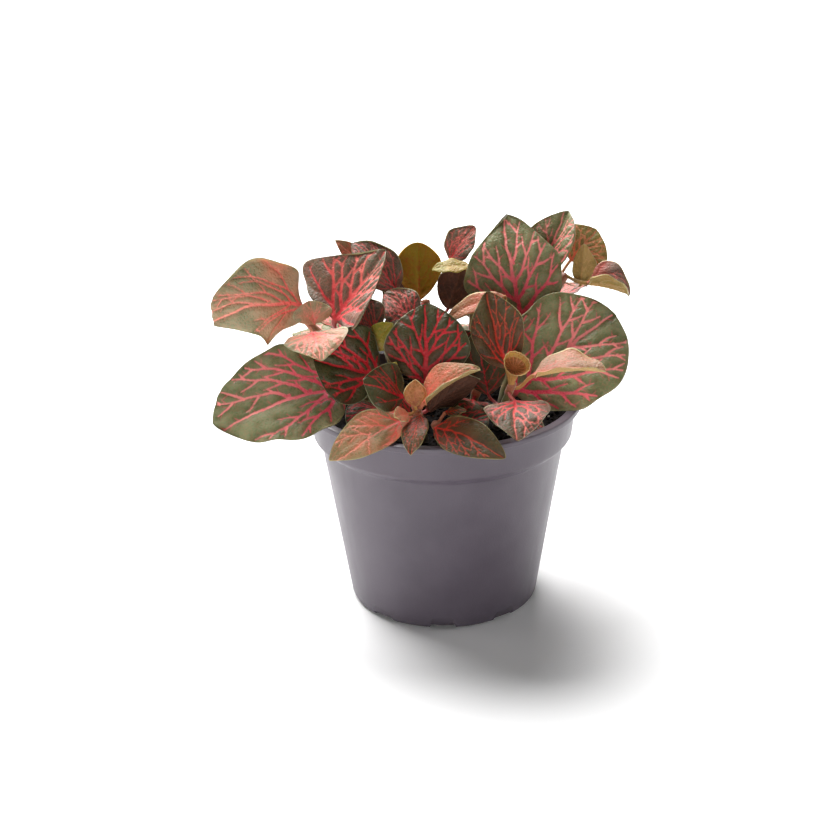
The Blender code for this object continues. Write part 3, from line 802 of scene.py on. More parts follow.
def gap_to_veins(points: Array, veins: list[Array]) -> Array:
    """Return each point's distance outside the nearest vein, negative inside it.

    Args:
        points: Flat positions, one row each.
        veins: Paths of points with half widths.
    """
    result = np.full(len(points), np.inf)
    for before, after in ((a, b) for path in veins for a, b in zip(path[:-1], path[1:])):
        start, step = before[:2], after[:2] - before[:2]
        span = float(step @ step) + 1e-9
        t = np.clip(((points - start) @ step) / span, 0.0, 1.0)
        near = start + t[:, None] * step
        width = before[2] + (after[2] - before[2]) * t
        gap = np.hypot(points[:, 0] - near[:, 0], points[:, 1] - near[:, 1]) - width
        np.minimum(result, gap, out=result)
    return result


class Stem(NamedTuple):
    """One shoot's stem: foot on the soil, the point that bends it, and tip, in millimetres."""

    name: str
    foot: tuple[float, float]
    middle: Point
    tip: Point


STEMS = (
    Stem("stem_front", (-8, -30), (-9, -36, 92), (-11, -42, 105)),
    Stem("stem_front_low", (0, -36), (-1, -40, 90), (-3, -44, 97)),
    Stem("stem_east", (23, -18), (25, -24, 96), (29, -31, 109)),
    Stem("stem_west", (-28, -4), (-38, -8, 108), (-56, -13, 131)),
    Stem("stem_southwest", (-22, -16), (-27, -19, 96), (-33, -21, 110)),
    Stem("stem_northeast", (26, 8), (30, 12, 108), (54, 26, 137)),
    Stem("stem_north", (-4, 26), (-4, 32, 100), (-7, 37, 122)),
    Stem("stem_northwest", (-28, 16), (-34, 20, 104), (-41, 9, 120)),
    Stem("stem_heart", (-8, 4), (-8, 2, 104), (-15, 0, 119)),
    Stem("stem_middle", (12, -2), (17, -4, 104), (25, -2, 131)),
    Stem("stem_back", (13, 30), (15, 38, 100), (13, 42, 128)),
    Stem("stem_back_west", (-20, 34), (-24, 42, 96), (-29, 48, 109)),
)
STEM_FOOT = 84.5
STEM_RADIUS = 2.0
STEM_TIP_SCALE = 0.7


def stem_centre(stem: Stem, share: float) -> Array:
    """Return the point at a share of a stem's curve above the soil."""
    return bend(np.array((*stem.foot, STEM_FOOT)), np.array(stem.middle), np.array(stem.tip), share)


def stem_radius(share: float) -> float:
    """Return a stem's radius at a share of its curve."""
    return STEM_RADIUS * (1.0 + share * (STEM_TIP_SCALE - 1.0))


class LeafForm(NamedTuple):
    """One leaf with its stalk.

    Attributes:
        name: The frame's node that the leaf stands for.
        stem: Stem that the stalk leaves.
        node: Where on the stem, as a share of its curve.
        base: The midrib's end at the stalk.
        tip: The midrib's other end.
        face: The way that the upper side looks.
        width: Widest measure across the flattened blade.
        finish: Colours and surface.
        veins: Vein pattern.
        arch: How far the midrib turns down from base to tip, in degrees.
        droop: A higher value moves that turn towards the tip.
        fold: How far the left and right halves are lifted, in degrees.
        cup: How far each half curls on towards its edge, in degrees.
        broad: Where the blade is widest, 0 at the stalk to 1 at the tip.
        ripple: Height of the waves along the edge.
        fullness: A lower value makes both ends rounder.
    """

    name: str
    stem: str
    node: float
    base: Point
    tip: Point
    face: Point
    width: float
    finish: LeafFinish
    veins: Veins = Veins.NET
    arch: float = 40.0
    droop: float = 1.0
    fold: tuple[float, float] = (15.0, 15.0)
    cup: float = -20.0
    broad: float = 0.45
    ripple: float = 0.4
    fullness: float = 0.8

    def blade_name(self) -> str:
        """Return the name of the leaf's piece."""
        return self.name.replace("leaf_", "blade_")

    def own_stem(self) -> Stem:
        """Return the stem that holds the leaf."""
        return next(stem for stem in STEMS if stem.name == self.stem)


class Spine(NamedTuple):
    """The line that a leaf is built along, from inside the stem to the blade's tip.

    Attributes:
        shares: Place of each row, negative on the stalk and 0 to 1 on the blade.
        centres: Point of each row.
        normals: The way that the upper side looks at each row.
        side: Direction across the blade.
        length: Length of the midrib.
    """

    shares: Array
    centres: Array
    normals: Array
    side: Array
    length: float


class BladeGrid(NamedTuple):
    """Values at each point of a leaf's grid, with rows along the spine and columns across it.

    Attributes:
        share: Distance along the blade, 0 at the stalk to 1 at the tip.
        reach: Distance from the midrib, 0 to 1 at the edge.
        half: -1 on the left half and 1 on the right.
        x: Flat distance along the midrib.
        y: Flat distance across it.
        opened: 0 on the stalk to 1 where the blade is open, one number for each row.
        width: Half width of the row with the margin's irregularities.
        vein_gap: Distance outside the nearest broad vein.
        fine_gap: Distance outside the nearest spur.
    """

    share: Array
    reach: Array
    half: Array
    x: Array
    y: Array
    opened: Array
    width: Array
    vein_gap: Array
    fine_gap: Array


def bell(distance: Array, reach: float) -> Array:
    """Return 1 at distance zero or less, falling off like a bell."""
    return np.exp(-(np.maximum(distance, 0.0) / reach) ** 2)


@dataclass
class LeafMaker:
    """Builds a leaf's closed mesh: a round stalk that opens into a thin, quilted blade.

    Attributes:
        form: The leaf.
        seed: Seed of its irregularities.
        spacing: Distance between neighbouring points.
        blade: Thickness of the blade.
        stalk: Thickness of the stalk.
        samples: Parts into which the midrib is divided.
        stalk_rows: Rows of the stalk.
        stalk_share: Length of the stalk in shares of the blade.
        stalk_bend: How far the stalk runs straight at both ends, as a share.
        opening: Share of the blade over which it opens from the stalk.
    """

    SWELL_SIZE, SWELL_HEIGHT = 17.0, 1.2
    EDGE_SIZE, EDGE_HEIGHT, MARGIN_DEPTH = 9.0, 0.6, 0.06
    BLUSH_SIZE = 8.0
    WAVES = 2.5
    QUILT_REACH = 1.2
    SPUR_DEPTH, SPUR_REACH = 0.25, 0.35
    RIB_HEIGHT, RIB_REACH = 0.35, 0.5
    KEEL_HEIGHT, KEEL_REACH = 0.5, 0.9

    form: LeafForm
    seed: int
    spacing: float = 0.5
    blade: float = 0.5
    stalk: float = 1.7
    samples: int = 80
    stalk_rows: int = 12
    stalk_share: float = 0.3
    stalk_bend: float = 0.35
    opening: float = 0.12

    def scale(self) -> float:
        """Return the scale of veins and relief, which follows the leaf's width."""
        return float(np.clip(self.form.width / 40.0, 0.3, 1.15))

    def midrib(self) -> tuple[Array, Array, Array]:
        """Return points along the midrib, their normals, and the direction across the blade."""
        form = self.form
        base, tip = np.array(form.base, dtype=float), np.array(form.tip, dtype=float)
        chord = tip - base
        along = unit(chord)
        face = np.array(form.face, dtype=float)
        face = unit(face - along * face.dot(along))
        side = np.cross(along, face)
        share = np.linspace(0.0, 1.0, self.samples + 1)
        pitch = -np.radians(form.arch) * share ** form.droop
        steps = np.stack([np.cos(pitch), np.sin(pitch)], axis=1)
        path = np.vstack([np.zeros(2), np.cumsum((steps[1:] + steps[:-1]) / 2, axis=0)])
        reach = np.linalg.norm(path[-1])
        level = path[-1] / reach
        turn = np.array([[level[0], -level[1]], [level[1], level[0]]])
        world = np.stack([along, face])
        points = base + path @ turn @ world * np.linalg.norm(chord) / reach
        normals = np.cross(side, steps @ turn @ world)
        return points, normals, side

    def half_widths(self, share: Array) -> Array:
        """Return half the blade's width at shares of its length."""
        form = self.form
        stalk = max(0.7, 0.026 * form.width)
        power = math.log(0.5) / math.log(form.broad)
        swell = np.maximum(np.sin(math.pi * np.minimum(share ** power, 1.0)), 0.0) ** form.fullness
        ends = stalk + (0.25 - stalk) * share
        return ends + (form.width / 2 - ends) * swell

    def stalk_path(self, direction: Array) -> Array:
        """Return points of the stalk from inside the stem to the blade."""
        form, stem = self.form, self.form.own_stem()
        centre = stem_centre(stem, form.node)
        axis = unit(centre - stem_centre(stem, form.node - 0.02))
        base = np.array(form.base, dtype=float)
        out = base - centre
        out = unit(out - axis * out.dot(axis))
        root = centre + out * 0.4 * stem_radius(form.node)
        straight = self.stalk_bend * np.linalg.norm(base - root)
        t = np.linspace(0.0, 1.0, self.stalk_rows + 1)[:-1, None]
        handles = (root, root + out * straight, base - direction * straight, base)
        weights = ((1 - t) ** 3, 3 * (1 - t) ** 2 * t, 3 * (1 - t) * t ** 2, t ** 3)
        return sum(weight * handle for weight, handle in zip(weights, handles))

    def spine(self) -> Spine:
        """Lay the rows of the stalk and of the blade, which stand closer at the blade's ends."""
        points, normals, side = self.midrib()
        length = float(np.linalg.norm(np.diff(points, axis=0), axis=1).sum())
        even = np.linspace(0.0, 1.0, int(np.clip(length / self.spacing, 16, 130)) + 1)
        share = 0.6 * even + 0.4 * (1.0 - np.cos(math.pi * even)) / 2
        ticks = np.linspace(0.0, 1.0, self.samples + 1)
        centre, normal = (
            np.stack([np.interp(share, ticks, line[:, axis]) for axis in range(3)], axis=1)
            for line in (points, normals)
        )
        stalk = self.stalk_path(unit(points[1] - points[0]))
        before = -np.linspace(1.0, 1.0 / len(stalk), len(stalk)) * self.stalk_share
        return Spine(
            np.concatenate([before, share]), np.vstack([stalk, centre]),
            np.vstack([np.repeat(normals[:1], len(stalk), axis=0), normal]), side, length,
        )

    def grid(self, spine: Spine) -> BladeGrid:
        """Lay the leaf's grid flat and grow its veins."""
        form = self.form
        columns = 2 * int(np.clip(form.width / self.spacing / 2, 6, 56))
        blade_share = np.clip(spine.shares, 0.0, 1.0)
        share, across = np.meshgrid(blade_share, np.linspace(-1.0, 1.0, columns + 1), indexing="ij")
        flat = FlatBlade(spine.length, self.half_widths(np.linspace(0.0, 1.0, 101)))
        x = share * spine.length
        y = across * flat.half_width(x)
        places = np.stack([x.ravel(), y.ravel()], axis=1)
        trace = VeinTrace(form.veins.value, flat, self.scale(), self.seed)
        kinds = (trace.broad, trace.fine)
        vein_gap, fine_gap = (gap_to_veins(places, veins).reshape(x.shape) for veins in kinds)
        reach = np.abs(across)
        opened = smooth(spine.shares, 0.0, self.opening)[:, None]
        margin = self.edge_noise().at(x, 30.0 * np.sign(across))
        uneven = 1.0 + self.MARGIN_DEPTH * margin * opened * reach ** 2
        width = self.half_widths(blade_share)[:, None] * uneven
        half = np.where(across < 0, -1.0, 1.0)
        return BladeGrid(share, reach, half, x, y, opened, width, vein_gap, fine_gap)

    def edge_noise(self) -> SoftNoise:
        """Return the noise of the margin."""
        return SoftNoise(self.seed + 200, self.EDGE_SIZE)

    def lift(self, grid: BladeGrid) -> Array:
        """Return how far the blade rises between its veins and in broad swellings."""
        groove = self.form.veins.value.groove * min(self.scale(), 1.0)
        quilt = -groove * np.exp(-np.maximum(grid.vein_gap, 0.0) / self.QUILT_REACH)
        quilt = quilt - self.SPUR_DEPTH * groove * bell(grid.fine_gap, self.SPUR_REACH)
        swell = SoftNoise(self.seed + 100, self.SWELL_SIZE).at(grid.x, grid.y) * (0.35 + 0.65 * grid.reach)
        lift = (quilt + self.SWELL_HEIGHT * self.scale() * swell) * grid.opened
        return lift * smooth(1.0 - grid.reach, 0.0, 0.04) ** 0.5

    def wave(self, grid: BladeGrid) -> Array:
        """Return how far the edge waves up and down."""
        phase = 2 * math.pi * self.WAVES * grid.share + grid.half
        wave = self.form.ripple * np.sin(phase) * grid.reach ** 2
        noise = self.edge_noise().at(1.6 * grid.x, 60.0 * grid.half)
        return wave + self.EDGE_HEIGHT * self.scale() * noise * grid.reach ** 4

    def section(self, grid: BladeGrid) -> tuple[Array, Array, Array]:
        """Return how far out, how far up and at what angle each point lies, in shares of the width."""
        fine = np.linspace(0.0, 1.0, 65)
        found = np.zeros((3, *grid.reach.shape))
        for half, fold in zip((-1.0, 1.0), self.form.fold):
            angle = np.radians(fold + self.form.cup * fine)
            steps = (fine[1] - fine[0]) * np.stack([np.cos(angle), np.sin(angle)])
            out, up = (np.concatenate([[0.0], np.cumsum((s[1:] + s[:-1]) / 2)]) for s in steps)
            mine = grid.half == half
            for target, line in zip(found, (out, up, angle)):
                target[mine] = np.interp(grid.reach[mine], fine, line)
        outs, ups, angles = found
        return grid.reach + (outs - grid.reach) * grid.opened, ups * grid.opened, angles * grid.opened

    def ribs(self, grid: BladeGrid, rim: Array) -> Array:
        """Return how far the veins stand out on the underside."""
        rib = self.RIB_HEIGHT * self.scale() * bell(grid.vein_gap, self.RIB_REACH) * grid.opened * rim
        keel = bell(np.abs(grid.y), self.KEEL_REACH) * (1.0 - grid.share) * grid.opened
        return rib + self.KEEL_HEIGHT * self.scale() * keel

    def build(self) -> bpy.types.Object:
        """Build the leaf.

        Returns:
            The leaf's object, with the values that its material reads.
        """
        spine = self.spine()
        grid = self.grid(spine)
        outs, ups, angles = self.section(grid)
        side, normal = spine.side, spine.normals[:, None, :]
        middle = spine.centres[:, None, :] + side * (grid.half * outs * grid.width)[..., None]
        middle = middle + normal * (ups * grid.width + self.wave(grid) * grid.opened)[..., None]
        facing = normal * np.cos(angles)[..., None] - side * (grid.half * np.sin(angles))[..., None]
        power = 2.0 + 6.0 * grid.opened
        rim = np.maximum(1.0 - grid.reach ** power, 0.0) ** (1.0 / power)
        taper = 1.0 - 0.3 * grid.reach * grid.opened
        thick = (self.stalk + (self.blade - self.stalk) * grid.opened) * rim * taper / 2
        lift = self.lift(grid)
        top = middle + facing * (thick + lift)[..., None]
        bottom = middle - facing * (thick + self.ribs(grid, rim) - lift)[..., None]
        item = loft(self.form.blade_name(), self.both_sides(top, bottom) * MM)
        values = {
            "vein_gap": grid.vein_gap,
            "fine_gap": grid.fine_gap,
            "rib_gap": np.abs(grid.y),
            "edge_gap": (1.0 - grid.reach) * grid.width + 5.0 * (1.0 - grid.opened),
            "share": np.broadcast_to(spine.shares[:, None], grid.x.shape),
            "blush": self.blush(grid),
        }
        for name, value in values.items():
            write_grid(item, name, self.both_sides(value, value))
        write_grid(item, "under", self.both_sides(np.zeros(grid.x.shape), np.ones(grid.x.shape)))
        return item

    def blush(self, grid: BladeGrid) -> Array:
        """Return how strongly the veins' colour spreads into the blade."""
        patch = 0.7 + 0.5 * SoftNoise(self.seed + 300, self.BLUSH_SIZE).at(grid.x, grid.y)
        near = np.exp(-np.maximum(grid.vein_gap, 0.0) / self.QUILT_REACH)
        return np.clip((0.45 * near + 0.8 * (1.0 - smooth(grid.share, 0.1, 0.75))) * patch, 0.0, 1.0)

    @staticmethod
    def both_sides(top: Array, bottom: Array) -> Array:
        """Join the rows of the upper side and the underside into closed loops."""
        return np.concatenate([top, bottom[:, -2:0:-1]], axis=1)


OPEN_CUP = 90.0


@dataclass
class BudCup:
    """Builds an opening bud: a funnel of joined leaf bases that widens into a round cup.

    Attributes:
        form: The leaf that it stands for.
        sides: Points around the cup.
        rows: Points along each of its walls.
        wall: Thickness of its wall.
        stalk: Radius at the stem.
        mouth: Radius of the opening.
        depth: How far the bowl reaches down, as a share of the funnel's length.
        lean: How far the opening stands out towards the front.
        rise: How far the funnel rises before it leans, as a share of its length.
        folds: Number of veins around the cup.
        vein: Half width of a vein.
    """

    form: LeafForm
    sides: int = 144
    rows: int = 48
    wall: float = 0.5
    stalk: float = 1.4
    mouth: float = 5.6
    depth: float = 0.35
    lean: float = 2.0
    rise: float = 0.55
    folds: int = 15
    vein: float = 0.12

    def build(self) -> bpy.types.Object:
        """Build the cup's closed mesh with the values that its material reads."""
        form = self.form
        foot = stem_centre(form.own_stem(), form.node)
        opening = (np.array(form.base, dtype=float) + np.array(form.tip)) / 2
        opening = opening + self.lean * unit(np.array(form.face, dtype=float))
        pull = foot + np.array([0.0, 0.0, self.rise * np.linalg.norm(opening - foot)])
        bowl = np.linspace(0.0, math.pi / 2, self.rows)
        outer = np.linspace(0.0, 1.0, self.rows)
        shares = np.concatenate([outer, 1.0 - self.depth * np.sin(bowl)])
        inside = np.repeat([0.0, 1.0], self.rows)
        radii = np.concatenate([
            self.stalk + (self.mouth - self.stalk) * outer ** 1.3,
            (self.mouth - self.wall) * np.cos(bowl) ** 0.8 + 0.2,
        ])
        turns = full_turn(self.sides)
        lobes = 0.04 * np.cos(2 * turns + 0.6) + 0.03 * np.cos(3 * turns)
        lobes = lobes + 0.02 * np.cos(self.folds * turns)
        loops = []
        for share, radius in zip(shares, radii):
            ahead = unit((pull - foot) * (1 - share) + (opening - pull) * share)
            side = unit(np.array([1.0, 0.0, 0.0]) - ahead * ahead[0])
            rough = radius * (1.0 + lobes * share)
            loops.append(ring(bend(foot, pull, opening, share), rough, turns, side, np.cross(ahead, side)))
        item = loft(form.blade_name(), np.array(loops) * MM)
        step = 2 * math.pi / self.folds
        gap = np.outer(radii, np.abs((turns + step / 2) % step - step / 2)) - self.vein
        values = {
            "vein_gap": gap,
            "fine_gap": gap + 0.4,
            "rib_gap": 5.0,
            "edge_gap": 10.0 * (1.0 - shares[:, None]),
            "share": shares[:, None],
            "blush": 2.0 * ((1.0 - shares) * inside)[:, None],
            "under": 1.0 - inside[:, None],
        }
        for name, value in values.items():
            write_grid(item, name, np.broadcast_to(value, gap.shape))
        return item


LEAVES = (
    LeafForm("leaf_west_large", "stem_southwest", 0.75, (-40, -24, 107), (-94, -38, 97), (-0.1, -0.75, 0.65),
             42, MATURE, Veins.OPEN, arch=60, broad=0.42, fullness=0.68),
    LeafForm("leaf_west_upper", "stem_west", 0.97, (-59, -10, 136), (-95, -16, 131), (-0.1, -0.7, 0.7),
             36, SAGE, Veins.STRIPES, arch=125, fold=(-40, 35), broad=0.36),
    LeafForm("leaf_west_bud_upper", "stem_west", 0.99, (-53, -15, 131), (-55, -11, 140), (0.1, -0.85, 0.5),
             17, SAGE, Veins.FAN, arch=30),
    LeafForm("leaf_west_bud_lower", "stem_west", 0.97, (-53, -22, 129), (-48, -40, 124), (0, -0.5, 0.85),
             27, SAGE, Veins.OPEN, arch=50, broad=0.33),
    LeafForm("leaf_west_folded", "stem_northwest", 0.95, (-46, 3, 126), (-24, 10, 155), (-0.2, -0.9, 0.3),
             54, STRIPED, arch=20, fold=(-10, 70), broad=0.28, fullness=0.9),
    LeafForm("leaf_southwest_red", "stem_southwest", 0.97, (-26, -25, 112), (-53, -28, 121),
             (0.1, -0.85, 0.5), 35, SHADED, Veins.OPEN),
    LeafForm("leaf_southwest_crescent", "stem_southwest", 0.72, (-26, -34, 113), (-19, -38, 122),
             (0.3, -0.9, 0.2), 9, LIME, Veins.FAINT, arch=30),
    LeafForm("leaf_southwest_young", "stem_southwest", 0.99, (-30, -16, 120), (-21, -20, 132), (0, -0.8, 0.6),
             12, LIME, Veins.FAINT, arch=20),
    LeafForm("leaf_southwest_strip", "stem_west", 0.88, (-45, -17, 125), (-34, -15, 123), (0, -0.3, 0.95),
             9, STRIPED, Veins.STRIPES, arch=20),
    LeafForm("leaf_front_left", "stem_front", 0.7, (-13, -39, 98), (-45, -59, 88), (-0.1, -0.7, 0.7),
             19, SALMON, arch=60),
    LeafForm("leaf_front_low", "stem_front", 0.85, (-9, -48, 102), (-13, -64, 92), (-0.3, -0.8, 0.4),
             11, RUSSET, Veins.FAN),
    LeafForm("leaf_front_right", "stem_front_low", 0.9, (-3, -48, 97), (25, -65, 91), (0, -0.7, 0.7),
             17, RUSSET, arch=60),
    LeafForm("leaf_front_small", "stem_front_low", 0.98, (1, -43, 101), (9, -46, 103), (0, -0.5, 0.9),
             5, RUSSET, Veins.FAINT, arch=20),
    LeafForm("leaf_front_tall", "stem_front", 0.94, (-7, -36, 111), (-5, -22, 141), (0, -0.9, 0.4),
             36, SHADED, arch=30),
    LeafForm("leaf_front_round", "stem_front", 0.95, (-15, -42, 108), (-31, -48, 118), (-0.2, -0.7, 0.7),
             22, SHADED, Veins.STRIPES),
    LeafForm("leaf_front_trough", "stem_front", 0.94, (-8, -46, 107), (15, -44, 121), (-0.3, -0.3, 0.9),
             20, SALMON, Veins.FAN, arch=30, fold=(30, 50)),
    LeafForm("leaf_front_shaded", "stem_front", 0.75, (-7, -37, 100), (15, -33, 112), (-0.1, 0.7, 0.6),
             24, SHADED, Veins.FAINT, arch=30),
    LeafForm("leaf_front_bud_upper", "stem_front", 0.99, (-11, -46, 107), (-11, -45, 118), (0, -0.8, 0.6),
             9, AMBER, Veins.FAN, arch=10),
    LeafForm("leaf_front_bud_lower", "stem_front", 0.93, (-14, -49, 104), (-19, -54, 105), (0, -0.7, 0.7),
             8, PEACH, Veins.FAN, arch=20),
    LeafForm("leaf_east_large", "stem_east", 0.35, (31, -12, 97), (75, 8, 124), (-0.1, -0.85, 0.5),
             52, MATURE, arch=60, droop=1.5, broad=0.48, fullness=0.65),
    LeafForm("leaf_east_upright", "stem_east", 0.95, (27, -27, 114), (19, -14, 143), (-0.2, -0.9, 0.35),
             24, RUSSET, Veins.STRIPES, arch=20, fold=(40, 20)),
    LeafForm("leaf_east_ribbon", "stem_middle", 0.97, (26, -8, 139), (2, -2, 126), (0, -0.6, 0.8),
             9, PEACH, Veins.FAN, arch=60),
    LeafForm("leaf_east_peach", "stem_east", 0.93, (37, -34, 114), (66, -38, 117), (0, -0.1, 1),
             26, PEACH, Veins.FAN, arch=30, fold=(24, 40)),
    LeafForm("leaf_east_front", "stem_east", 0.85, (30, -41, 105), (31, -62, 97), (0, -0.6, 0.8),
             26, STRIPED, arch=50, broad=0.35),
    LeafForm("leaf_east_bud", "stem_east", 0.98, (30, -35, 111), (32, -33, 125), (-0.1, -0.8, 0.6),
             30, AMBER, Veins.FAN, arch=10, fold=(5, 5), cup=150, broad=0.7),
    LeafForm("leaf_east_inner", "stem_east", 0.4, (19, -16, 98), (15, -12, 126), (-0.2, -0.9, 0.3),
             20, SHADED, Veins.FAINT, arch=30),
    LeafForm("leaf_northeast_tall", "stem_northeast", 0.64, (33, 14, 122), (28, 34, 162), (-0.1, -0.9, 0.35),
             43, MATURE, broad=0.36, fullness=0.9),
    LeafForm("leaf_northeast_top", "stem_northeast", 0.9, (43, 27, 136), (56, 37, 162), (0.1, -0.9, 0.4),
             26, MATURE, arch=30, fold=(0, 75)),
    LeafForm("leaf_northeast_olive", "stem_northeast", 0.97, (57, 33, 141), (69, 41, 152), (0.1, -0.8, 0.5),
             24, OLIVE),
    LeafForm("leaf_northeast_trough", "stem_northeast", 0.99, (62, 14, 137), (80, 10, 133), (0, 0, 1),
             24, REVERSE, Veins.STRIPES, arch=30, fold=(50, 50)),
    LeafForm("leaf_northeast_upright", "stem_northeast", 0.96, (60, 20, 135), (61, 22, 152), (0.3, 0.9, 0.1),
             12, REVERSE, Veins.FAINT, arch=20, fold=(30, 30), broad=0.33),
    LeafForm("leaf_middle_striped", "stem_heart", 0.97, (-27, -1, 121), (-38, 5, 134), (0, -0.7, 0.7),
             18, STRIPED, Veins.STRIPES, arch=30),
    LeafForm("leaf_middle_grey", "stem_heart", 0.97, (-11, 4, 124), (-24, 13, 134), (-0.2, -0.6, 0.8),
             18, STRIPED, Veins.OPEN),
    LeafForm("leaf_north_red", "stem_north", 0.97, (-19, 27, 130), (-38, 34, 150), (0.2, -0.7, 0.7),
             20, STRIPED, Veins.STRIPES, arch=60),
    LeafForm("leaf_north_coral_tip", "stem_north", 0.93, (-24, 38, 130), (-45, 38, 150), (0.3, -0.8, 0.5),
             11, SALMON, Veins.STRIPES, arch=20),
    LeafForm("leaf_north_backlit", "stem_north", 0.98, (-9, 38, 122), (-10, 46, 146), (0, 0.95, -0.2),
             20, BACKLIT, Veins.FAINT, arch=30, broad=0.58, fullness=0.6),
    LeafForm("leaf_north_narrow", "stem_back", 0.95, (12, 32, 139), (-4, 30, 138), (0, -0.3, 0.9),
             10, LIME, Veins.FAINT, arch=30),
    LeafForm("leaf_north_coral", "stem_back", 0.97, (4, 49, 137), (15, 50, 152), (-0.4, -0.7, 0.5),
             16, STRIPED, Veins.STRIPES, arch=30),
    LeafForm("leaf_north_dark_west", "stem_north", 0.85, (-12, 40, 114), (-22, 46, 136), (-0.4, 0.8, 0.3),
             18, SHADED, Veins.FAINT, arch=30),
    LeafForm("leaf_north_dark_east", "stem_north", 0.85, (2, 37, 118), (8, 38, 139), (0.3, 0.8, 0.3),
             16, SHADED, Veins.FAINT, arch=30),
    LeafForm("leaf_back_east_large", "stem_back", 0.5, (29, 46, 111), (52, 84, 98), (0.2, 0.4, 0.9),
             36, MATURE, arch=60),
    LeafForm("leaf_back_large", "stem_north", 0.45, (-2, 37, 101), (3, 88, 87), (0, 0.4, 0.9),
             36, MATURE, arch=50),
    LeafForm("leaf_back_west_large", "stem_back_west", 0.95, (-32, 52, 106), (-60, 84, 98), (-0.2, 0.4, 0.9),
             34, MATURE, arch=60),
    LeafForm("leaf_back_east_side", "stem_northeast", 0.66, (44, 20, 116), (76, 44, 104), (0.4, 0.2, 0.9),
             32, MATURE, arch=60),
    LeafForm("leaf_back_west_side", "stem_northwest", 0.5, (-40, 24, 106), (-64, 50, 102), (-0.3, 0.3, 0.9),
             30, MATURE, arch=60),
    LeafForm("leaf_back_young_east", "stem_back", 0.8, (22, 50, 118), (28, 70, 119), (0, 0.2, 1),
             22, SALMON, arch=50),
)

# Leaves with no node in the frame that fill the plant's inside; those with the SHADED finish are dark leaves
# set into the gaps as painted shade.
INNER_LEAVES = (
    LeafForm("leaf_inner_southwest", "stem_southwest", 0.5, (-25, -27, 96), (-39, -41, 95),
             (-0.1, -0.5, 0.85), 20, SHADED, arch=50),
    LeafForm("leaf_inner_front", "stem_front", 0.45, (-13, -35, 97), (-27, -38, 101), (-0.1, -0.8, 0.6),
             15, SHADED),
    LeafForm("leaf_inner_heart", "stem_heart", 0.5, (-5, -2, 104), (2, -16, 114), (0.1, -0.7, 0.6),
             24, SHADED, arch=30),
    LeafForm("leaf_inner_middle", "stem_middle", 0.5, (13, -4, 108), (4, -4, 123), (-0.1, -0.9, 0.3),
             20, SHADED, arch=30),
    LeafForm("leaf_inner_east", "stem_east", 0.2, (27, -24, 92), (42, -36, 88), (0.2, -0.4, 0.9),
             15, SHADED),
    LeafForm("leaf_inner_west", "stem_west", 0.5, (-38, -4, 108), (-50, 2, 113), (-0.2, -0.8, 0.5),
             20, SHADED),
    LeafForm("leaf_inner_north", "stem_north", 0.5, (-8, 26, 104), (-24, 20, 120), (-0.3, -0.8, 0.5),
             24, SHADED),
    LeafForm("leaf_inner_northeast", "stem_northeast", 0.5, (33, 4, 108), (46, 12, 118), (0.1, -0.8, 0.5),
             24, SHADED),
    LeafForm("leaf_inner_back", "stem_back", 0.62, (13, 43, 112), (0, 62, 120), (-0.1, 0.6, 0.8),
             26, MATURE, arch=50),
    LeafForm("leaf_inner_back_north", "stem_north", 0.75, (-12, 44, 105), (-28, 64, 108), (-0.3, 0.6, 0.8),
             26, MATURE, arch=50),
    LeafForm("leaf_inner_back_west", "stem_back_west", 0.8, (-30, 44, 98), (-40, 54, 97), (-0.5, 0.6, 0.6),
             24, STRIPED),
    LeafForm("leaf_inner_northwest", "stem_northwest", 0.8, (-43, 18, 114), (-63, 27, 119), (-0.4, 0.4, 0.8),
             26, MATURE, arch=50),
    LeafForm("leaf_inner_northwest_low", "stem_northwest", 0.6, (-36, 28, 101), (-50, 35, 98),
             (-0.4, 0.8, 0.5), 24, STRIPED),
    LeafForm("leaf_inner_far_east", "stem_northeast", 0.8, (48, 28, 124), (62, 46, 126), (0.3, 0.6, 0.8),
             24, STRIPED, arch=50),
    LeafForm("leaf_inner_back_east", "stem_back", 0.45, (19, 40, 98), (35, 50, 98), (0.3, 0.7, 0.7),
             26, MATURE, arch=50),
    LeafForm("leaf_inner_gap", "stem_front_low", 0.4, (4, -36, 91), (19, -30, 95), (-0.1, -0.7, 0.7),
             18, SHADED),
    LeafForm("leaf_inner_gap_east", "stem_middle", 0.25, (13, -6, 91), (11, -24, 93), (0.1, -0.6, 0.8),
             18, SHADED),
)


@dataclass
class Foliage:
    """A group of leaves.

    Attributes:
        forms: The leaves.
        first_seed: Seed of the first leaf's irregularities.
        stand_in: Whether the leaves stand for nodes of the frame.
    """

    forms: Sequence[LeafForm]
    first_seed: int = 11
    stand_in: bool = True

    def build(self, kit: GroupKit) -> None:
        """Build every leaf and dress it."""
        for index, form in enumerate(self.forms):
            material = bpy.data.materials.get(form.finish.name) or form.finish.build(kit)
            maker = BudCup(form) if form.cup > OPEN_CUP else LeafMaker(form, self.first_seed + index)
            leaf = maker.build()
            if self.stand_in:
                self.settle(leaf, form.name)
            dress(leaf, material, form.name if self.stand_in else None)

    def settle(self, leaf: bpy.types.Object, node: str) -> None:
        """Shift a leaf so that its box is centred on the box of its node."""
        low, high = (np.array(corner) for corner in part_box(node))
        points = np.empty(3 * len(leaf.data.vertices), dtype=np.float32)
        leaf.data.vertices.foreach_get("co", points)
        points = points.reshape(-1, 3)
        shift = (low + high) / 2 - (points.min(axis=0) + points.max(axis=0)) / 2
        LOG.info("%s moves %.2f mm onto its node", leaf.name, float(np.linalg.norm(shift)) / MM)
        leaf.data.vertices.foreach_set("co", (points + shift).astype(np.float32).ravel())
        leaf.data.update()


